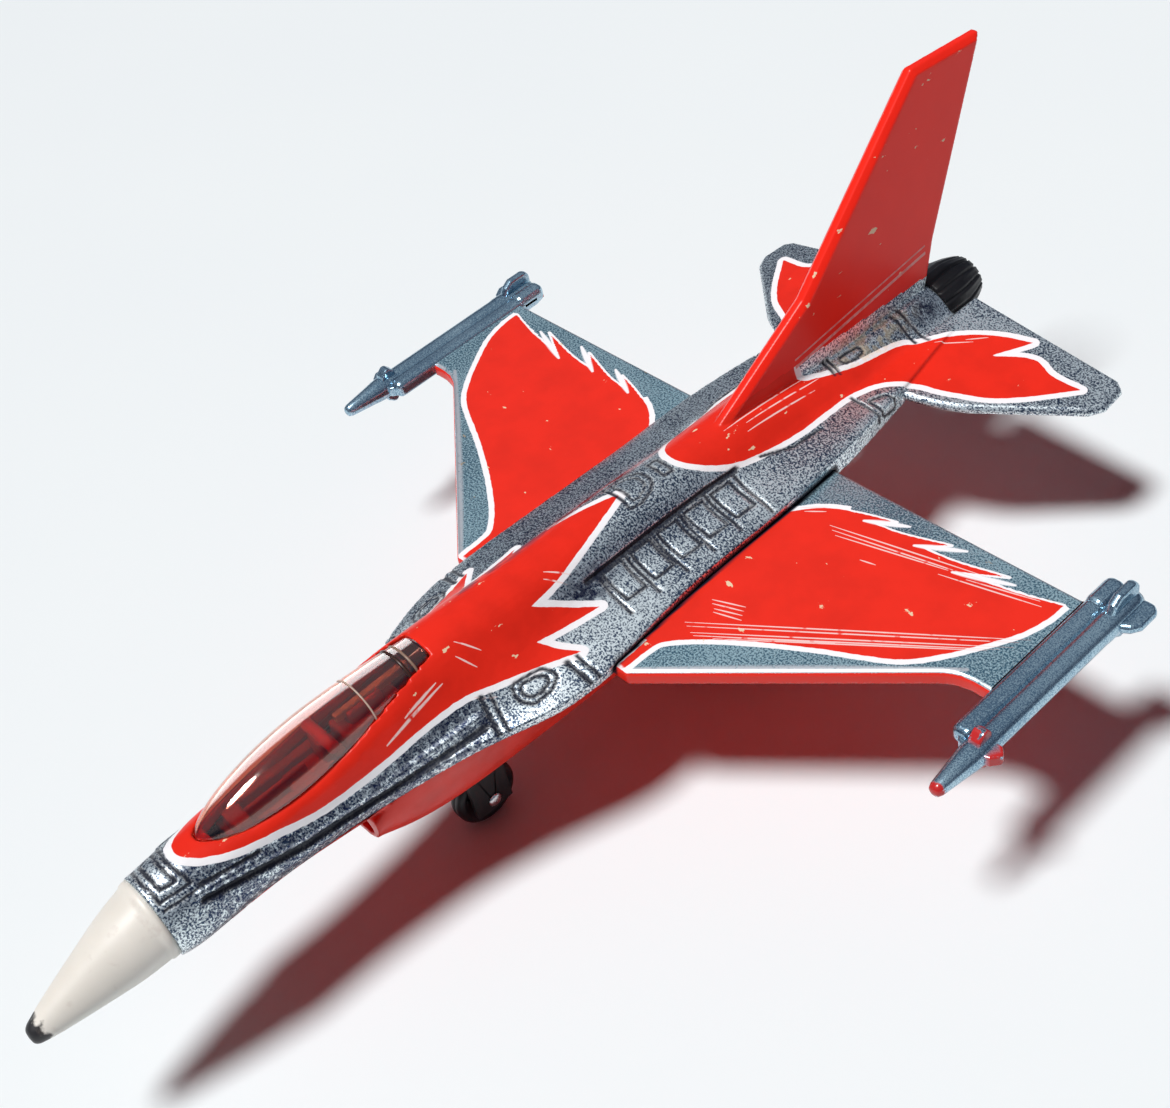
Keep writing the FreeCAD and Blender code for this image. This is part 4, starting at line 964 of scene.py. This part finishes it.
def canopy():
    """A thin blown bubble with a folded lower edge, and the hoops across it."""
    rows = smooth_run(CANOPY, 10)
    columns = 48
    points = []
    for inset in (0.0, 0.38):
        for y, wide, sill, crest in rows:
            shrink = max(0.3, 1 - inset / max(wide, 0.4))
            step = 0.07 if abs(y - FRAME_Y) < 0.16 and not inset else 0.0
            for k in range(columns + 1):
                a = math.pi * k / columns
                x = (wide * shrink - step) * math.cos(a)
                points.append((x, y, sill + (crest - sill - inset - step) * math.sin(a)))
    count = len(rows)
    ring = columns + 1
    layer = count * ring
    outer = grid_faces(count, ring, False)
    inner = [tuple(i + layer for i in reversed(f)) for f in outer]
    rims = [(r * ring + c, (r + 1) * ring + c) for r in range(count - 1) for c in (0, columns)]
    rims += [(r * ring + c, r * ring + c + 1) for r in (0, count - 1) for c in range(columns)]
    faces = outer + inner + [(a, b, b + layer, a + layer) for a, b in rims]
    piece = closed_mesh("canopy_bubble", points, faces)
    place(piece, tinted_glass(), "canopy")
    for name, y, thick, colour in (("canopy_arch", FRAME_Y, 0.07, (0.62, 0.46, 0.38)),
                                   ("canopy_rear_arch", -16.4, 0.16, (0.05, 0.02, 0.015)),
                                   ("canopy_rear_rib", -15.7, 0.12, (0.30, 0.20, 0.15))):
        place(arch(name, y, thick), plastic(f"{name}_plastic", colour, 0.2, 0.1))


def arch(name, y, thick):
    """A thin half-hoop lying on the canopy."""
    wide, sill, crest = canopy_at(y)
    columns, around = 40, 10
    points = []
    for k in range(columns + 1):
        a = math.pi * k / columns
        for j in range(around):
            b = 2 * math.pi * j / around
            lift = thick * math.cos(b) - 0.3 * thick
            points.append(((wide + lift) * math.cos(a), y + thick * math.sin(b),
                           sill + (crest - sill + lift) * math.sin(a)))
    return closed_mesh(name, points, grid_faces(columns + 1, around, True))


def cockpit():
    """The red tub: floor with side consoles and a central ridge, seat, headrest bar and rear deck."""
    parts = [
        rounded_box("tub", (-2.05, -33.0, 15.7), (2.05, -17.1, 17.6), 0.15),
        rounded_box("console_port", (1.15, -31.0, 17.4), (2.05, -24.0, 18.6), 0.2),
        rounded_box("console_starboard", (-2.05, -31.0, 17.4), (-1.15, -24.0, 18.6), 0.2),
        rounded_box("ridge", (-0.35, -32.0, 17.4), (0.35, -25.8, 18.9), 0.3, 0.5),
        rounded_box("seat_base", (-1.05, -27.6, 17.4), (1.05, -24.2, 18.2), 0.3),
        rounded_box("seat_back", (-1.0, -24.6, 17.4), (1.0, -23.6, 20.4), 0.35, 0.85),
        rounded_box("panel", (-1.5, -32.6, 17.4), (1.5, -31.2, 19.2), 0.3, 0.7),
        rounded_box("deck", (-1.55, -22.6, 17.4), (1.55, -17.1, 19.6), 0.3, 0.8),
        rounded_box("deck_block", (-0.8, -21.6, 19.3), (0.8, -18.4, 20.7), 0.3, 0.7),
    ]
    dark_red = plastic("dark_red_plastic", (0.46, 0.025, 0.012), 0.4, 0.05)
    place(joined("cockpit_tub", parts), dark_red, "cockpit_insert")
    profile = [(-1.9, 0.02), (-1.9, 0.42), (-1.75, 0.5), (1.75, 0.5), (1.9, 0.42), (1.9, 0.02)]
    bar = lathe("headrest_bar", profile, 32, (0, -23.9, 20.2), axis="X")
    place(bar, plastic("bright_red_plastic", RED, 0.3, 0.05))
    strip = rounded_box("deck_strip", (-0.28, -22.4, 20.2), (0.28, -15.6, 20.95), 0.12)
    place(strip, plastic("pale_strip", (0.60, 0.50, 0.36), 0.4, 0.1))


def nose_cone():
    """The radome, turned about a drooping axis, with a raised ring where it meets the casting."""
    rings = ((-40.37, 15.90, 3.26), (-40.7, 15.84, 3.26), (-40.95, 15.80, 3.22), (-41.05, 15.78, 3.12),
             (-43.40, 15.35, 2.78), (-46.30, 14.82, 2.12), (-49.30, 14.27, 1.38), (-50.6, 14.03, 0.99),
             (-51.15, 13.94, 0.78), (-51.42, 13.89, 0.50), (-51.49, 13.88, 0.05))
    rows = list(rings[:3]) + smooth_run(rings[3:], 8)
    columns = 96
    points = [(r * math.sin(2 * math.pi * k / columns), y, z + r * math.cos(2 * math.pi * k / columns))
              for y, z, r in rows for k in range(columns)]
    piece = closed_mesh("radome", points, grid_faces(len(rows), columns, True))
    store(piece, "tip", vertices_mm(piece)[:, 1] + 51.5)
    place(piece, cream_cone(), "nose_cone")


NOZZLE_Z = 15.95


def nozzle():
    """Fifteen petals that overlap like shingles, swelling and then closing in, round a dark bore."""
    per = 10
    columns = 15 * per
    rows = ((43.62, 2.60), (43.9, 2.78), (44.8, 2.86), (46.0, 2.90), (46.6, 2.86), (47.8, 2.56),
            (48.8, 2.20), (49.22, 2.02), (49.28, 1.92), (49.2, 1.72), (48.4, 1.62), (46.2, 1.52))
    points = []
    for i, (y, radius) in enumerate(rows):
        for c in range(columns):
            share = (c % per) / per
            rib = 0.0
            if 1 <= i <= 8:
                rib = -0.26 * max(0.0, 1 - abs(share - 0.5) / 0.18) + 0.05 * math.sin(math.pi * share)
            a = 2 * math.pi * c / columns
            r = min(radius + rib, 2.9)
            points.append((r * math.sin(a), y, NOZZLE_Z + r * math.cos(a)))
    piece = closed_mesh("nozzle_petals", points, grid_faces(len(rows), columns, True))
    black = plastic("black_satin", (0.012, 0.012, 0.015), 0.35, 0.05)
    place(piece, black, "exhaust_nozzle")


def belly():
    """The red underside with its panel lines."""
    piece = dense_skin("belly_moulding", "belly_skin", 0.22)
    points = vertices_mm(piece)
    normals = vertex_rows(piece, "normal")
    carve(piece, points[:, :2], BELLY_MARKS, (normals[:, 2] < -0.3) & (points[:, 2] < 14.0))
    place(piece, plastic("red_gloss", RED, 0.28, 0.05), "belly_moulding")


WHEEL_R = 2.9
SPOKES = 5


def wheel(name, wide):
    """A moulded wheel: rounded tread with a fine centre seam, dished faces, hub ring and spokes."""
    low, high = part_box(name)
    centre = [(a + b) / 2 / MM for a, b in zip(low, high)]
    half = wide / 2
    profile = [(-half + 0.3, 0.46), (-half + 0.3, 0.95), (-half + 0.02, 1.05), (-half + 0.02, 1.25),
               (-half + 0.28, 1.4), (-half + 0.28, 1.95), (-half + 0.05, 2.15), (-half, 2.45),
               (-half + 0.06, 2.68), (-half + 0.2, 2.83), (-half + 0.4, WHEEL_R), (-0.06, WHEEL_R),
               (0.0, WHEEL_R - 0.05)]
    profile = profile + [(-x, y) for x, y in reversed(profile[:-1])]
    profile.append(profile[0])
    parts = [lathe(f"{name}_disc", profile, 96, centre, axis="X")]
    for side in (-1, 1):
        hub = Vector((centre[0] + side * (half - 0.24), centre[1], centre[2])) * MM
        for k in range(SPOKES):
            spoke = rounded_box("spoke", (-0.14, -0.2, 1.1), (0.14, 0.2, 2.1), 0.08)
            spoke.data.transform(Matrix.Rotation(2 * math.pi * k / SPOKES, 4, "X"))
            spoke.data.transform(Matrix.Translation(hub))
            parts.append(spoke)
    black = plastic(f"{name}_black", (0.010, 0.010, 0.012), 0.32, 0.06)
    place(joined(f"{name}_detail", parts), black, name, name)


def axle(name):
    """A steel pin with a domed, peened head at each end."""
    low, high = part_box(name)
    left, right = low.x / MM, high.x / MM
    y, z = (low.y + high.y) / 2 / MM, (low.z + high.z) / 2 / MM
    head = [(left, 0.02), (left + 0.03, 0.3), (left + 0.1, 0.5), (left + 0.2, 0.61), (left + 0.3, 0.61),
            (left + 0.31, 0.4)]
    shift = left + right
    profile = head + [(shift - along, radius) for along, radius in reversed(head)]
    pin = lathe(f"{name}_pin", profile, 40, (0, y, z), axis="X")
    place(pin, steel(f"{name}_steel"), name)


def leg(node):
    """A black leg as in CAD, with its edges softened."""
    piece = link(bpy.data.objects.new(f"{node}_cast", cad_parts[node].data.copy()))
    with edited(piece) as shell:
        bmesh.ops.remove_doubles(shell, verts=shell.verts, dist=WELD * MM)
    soften(piece, 0.1, 2)
    place(piece, plastic(f"{node}_black", (0.014, 0.014, 0.016), 0.4, 0.06), node)


def rivets():
    """Peened heads with a dimple, standing in the belly's counterbores."""
    profile = [(0.35, 0.02), (0.3, 0.3), (0.12, 0.55), (0.05, 0.9), (0.12, 1.3), (0.3, 1.48), (0.6, 1.5)]
    parts = [lathe("rivet", profile, 48, (0, y, base), axis="Z") for y, base in ((-9.4, 7.7), (27.6, 10.3))]
    place(joined("rivet_heads", parts), steel("rivet_steel"), "belly_rivets")


# ------------------------------------------------------------------ stage

CAMERA_PLACE = (82.81, -51.46, 111.12)
CAMERA_AZIMUTH = 57.11
CAMERA_ELEVATION = 43.38
CAMERA_ROLL = -14.07
CAMERA_LENS = 52.7

SUN_FROM = (-26, -132, 400)
SUN_LEVEL = 3.5
SUN_SPREAD = 13

# A bright patch that only mirror-smooth surfaces show: its direction, level and half-widths.
WINDOW_SIDE = (-0.92, 0.16, 0.34)
WINDOW_LEVEL = 8.0
WINDOW_CORE = 20
WINDOW_RIM = 29

# Reflected studio: height and colour from the horizon down, overhead, on the wall and above it.
STUDIO = ((0.0, (0.12, 0.15, 0.20)), (1.0, (0.30, 0.33, 0.37)), (0.30, (0.035, 0.05, 0.09)),
          (0.62, (0.24, 0.27, 0.32)))
FILL = (0.080, 0.022, 0.023)
BACKDROP = (0.80, 0.88, 0.90)
FLOOR_REACH = 4000


def camera():
    """The camera that every standard view starts from."""
    azimuth, elevation = math.radians(CAMERA_AZIMUTH), math.radians(CAMERA_ELEVATION)
    back = Vector((math.sin(azimuth) * math.cos(elevation), -math.cos(azimuth) * math.cos(elevation),
                   math.sin(elevation)))
    right = Vector((0, 0, 1)).cross(back).normalized()
    turn = Matrix((right, back.cross(right), back)).transposed().to_4x4()
    turn = turn @ Matrix.Rotation(math.radians(CAMERA_ROLL), 4, "Z")
    data = bpy.data.cameras.new("camera")
    data.lens = CAMERA_LENS
    data.sensor_fit = "HORIZONTAL"
    data.sensor_width = 36.0
    data.clip_start = 0.005
    obj = link(bpy.data.objects.new("camera", data))
    obj.matrix_world = Matrix.Translation(Vector(CAMERA_PLACE) * MM) @ turn
    bpy.context.scene.camera = obj


def key_light():
    """One broad overhead lamp, a little to the nose's side."""
    data = bpy.data.lights.new("key", "SUN")
    data.energy = SUN_LEVEL
    data.angle = math.radians(SUN_SPREAD)
    data.color = (1.0, 0.995, 0.985)
    obj = link(bpy.data.objects.new("key", data))
    obj.matrix_world = (-Vector(SUN_FROM)).to_track_quat("-Z", "Y").to_matrix().to_4x4()


def sky():
    """A studio to reflect, a dim fill light, and a plain backdrop behind the floor's edge."""
    world = bpy.data.worlds.new("studio")
    bpy.context.scene.world = world
    world.use_nodes = True
    g = Graph(world.node_tree)
    direction = g.nodes.new("ShaderNodeTexCoord").outputs["Generated"]
    split = g.nodes.new("ShaderNodeSeparateXYZ")
    g.feed(split.inputs[0], direction)
    studio = g.nodes.new("ShaderNodeValToRGB")
    g.feed(studio.inputs["Fac"], split.outputs["Z"])
    stops = studio.color_ramp.elements
    for i, (height, colour) in enumerate(STUDIO):
        stop = stops[i] if i < 2 else stops.new(height)
        stop.color = (*colour, 1)
    facing = g.vector("DOT_PRODUCT", direction, tuple(Vector(WINDOW_SIDE).normalized())).outputs["Value"]
    window = g.ramp(facing, math.cos(math.radians(WINDOW_RIM)), math.cos(math.radians(WINDOW_CORE)))
    rays = g.nodes.new("ShaderNodeLightPath").outputs
    window = g.times(window, rays["Is Singular Ray"])
    shown = g.mix(window, studio.outputs["Color"], (WINDOW_LEVEL,) * 3)
    shown = g.mix(rays["Is Diffuse Ray"], shown, FILL)
    shown = g.mix(rays["Is Camera Ray"], shown, BACKDROP)
    g.feed(g.nodes["Background"].inputs["Color"], shown)


def stage():
    """The pale floor, the lamp and the studio."""
    corners = [(x * FLOOR_REACH, y * FLOOR_REACH, 0) for x, y in ((-1, -1), (1, -1), (1, 1), (-1, 1))]
    floor = mesh_object("floor", corners, [(0, 1, 2, 3)])
    r = Recipe("pale_table")
    r.set(Base_Color=r.mix(r.noise(40.0), (0.80, 0.88, 0.90), (0.78, 0.86, 0.89)), Roughness=0.5)
    floor.data.materials.append(r.material)
    key_light()
    sky()
    bpy.context.scene.view_settings.view_transform = "Standard"


casting()
fin_stripes()
wing()
launcher(1)
launcher(-1)
canopy()
cockpit()
nose_cone()
nozzle()
belly()
wheel("nose_wheel", 1.5)
wheel("main_wheel_left", 2.0)
wheel("main_wheel_right", 2.0)
axle("nose_axle")
axle("main_axle")
leg("nose_gear_leg")
leg("main_gear_carrier")
rivets()
camera()
stage()
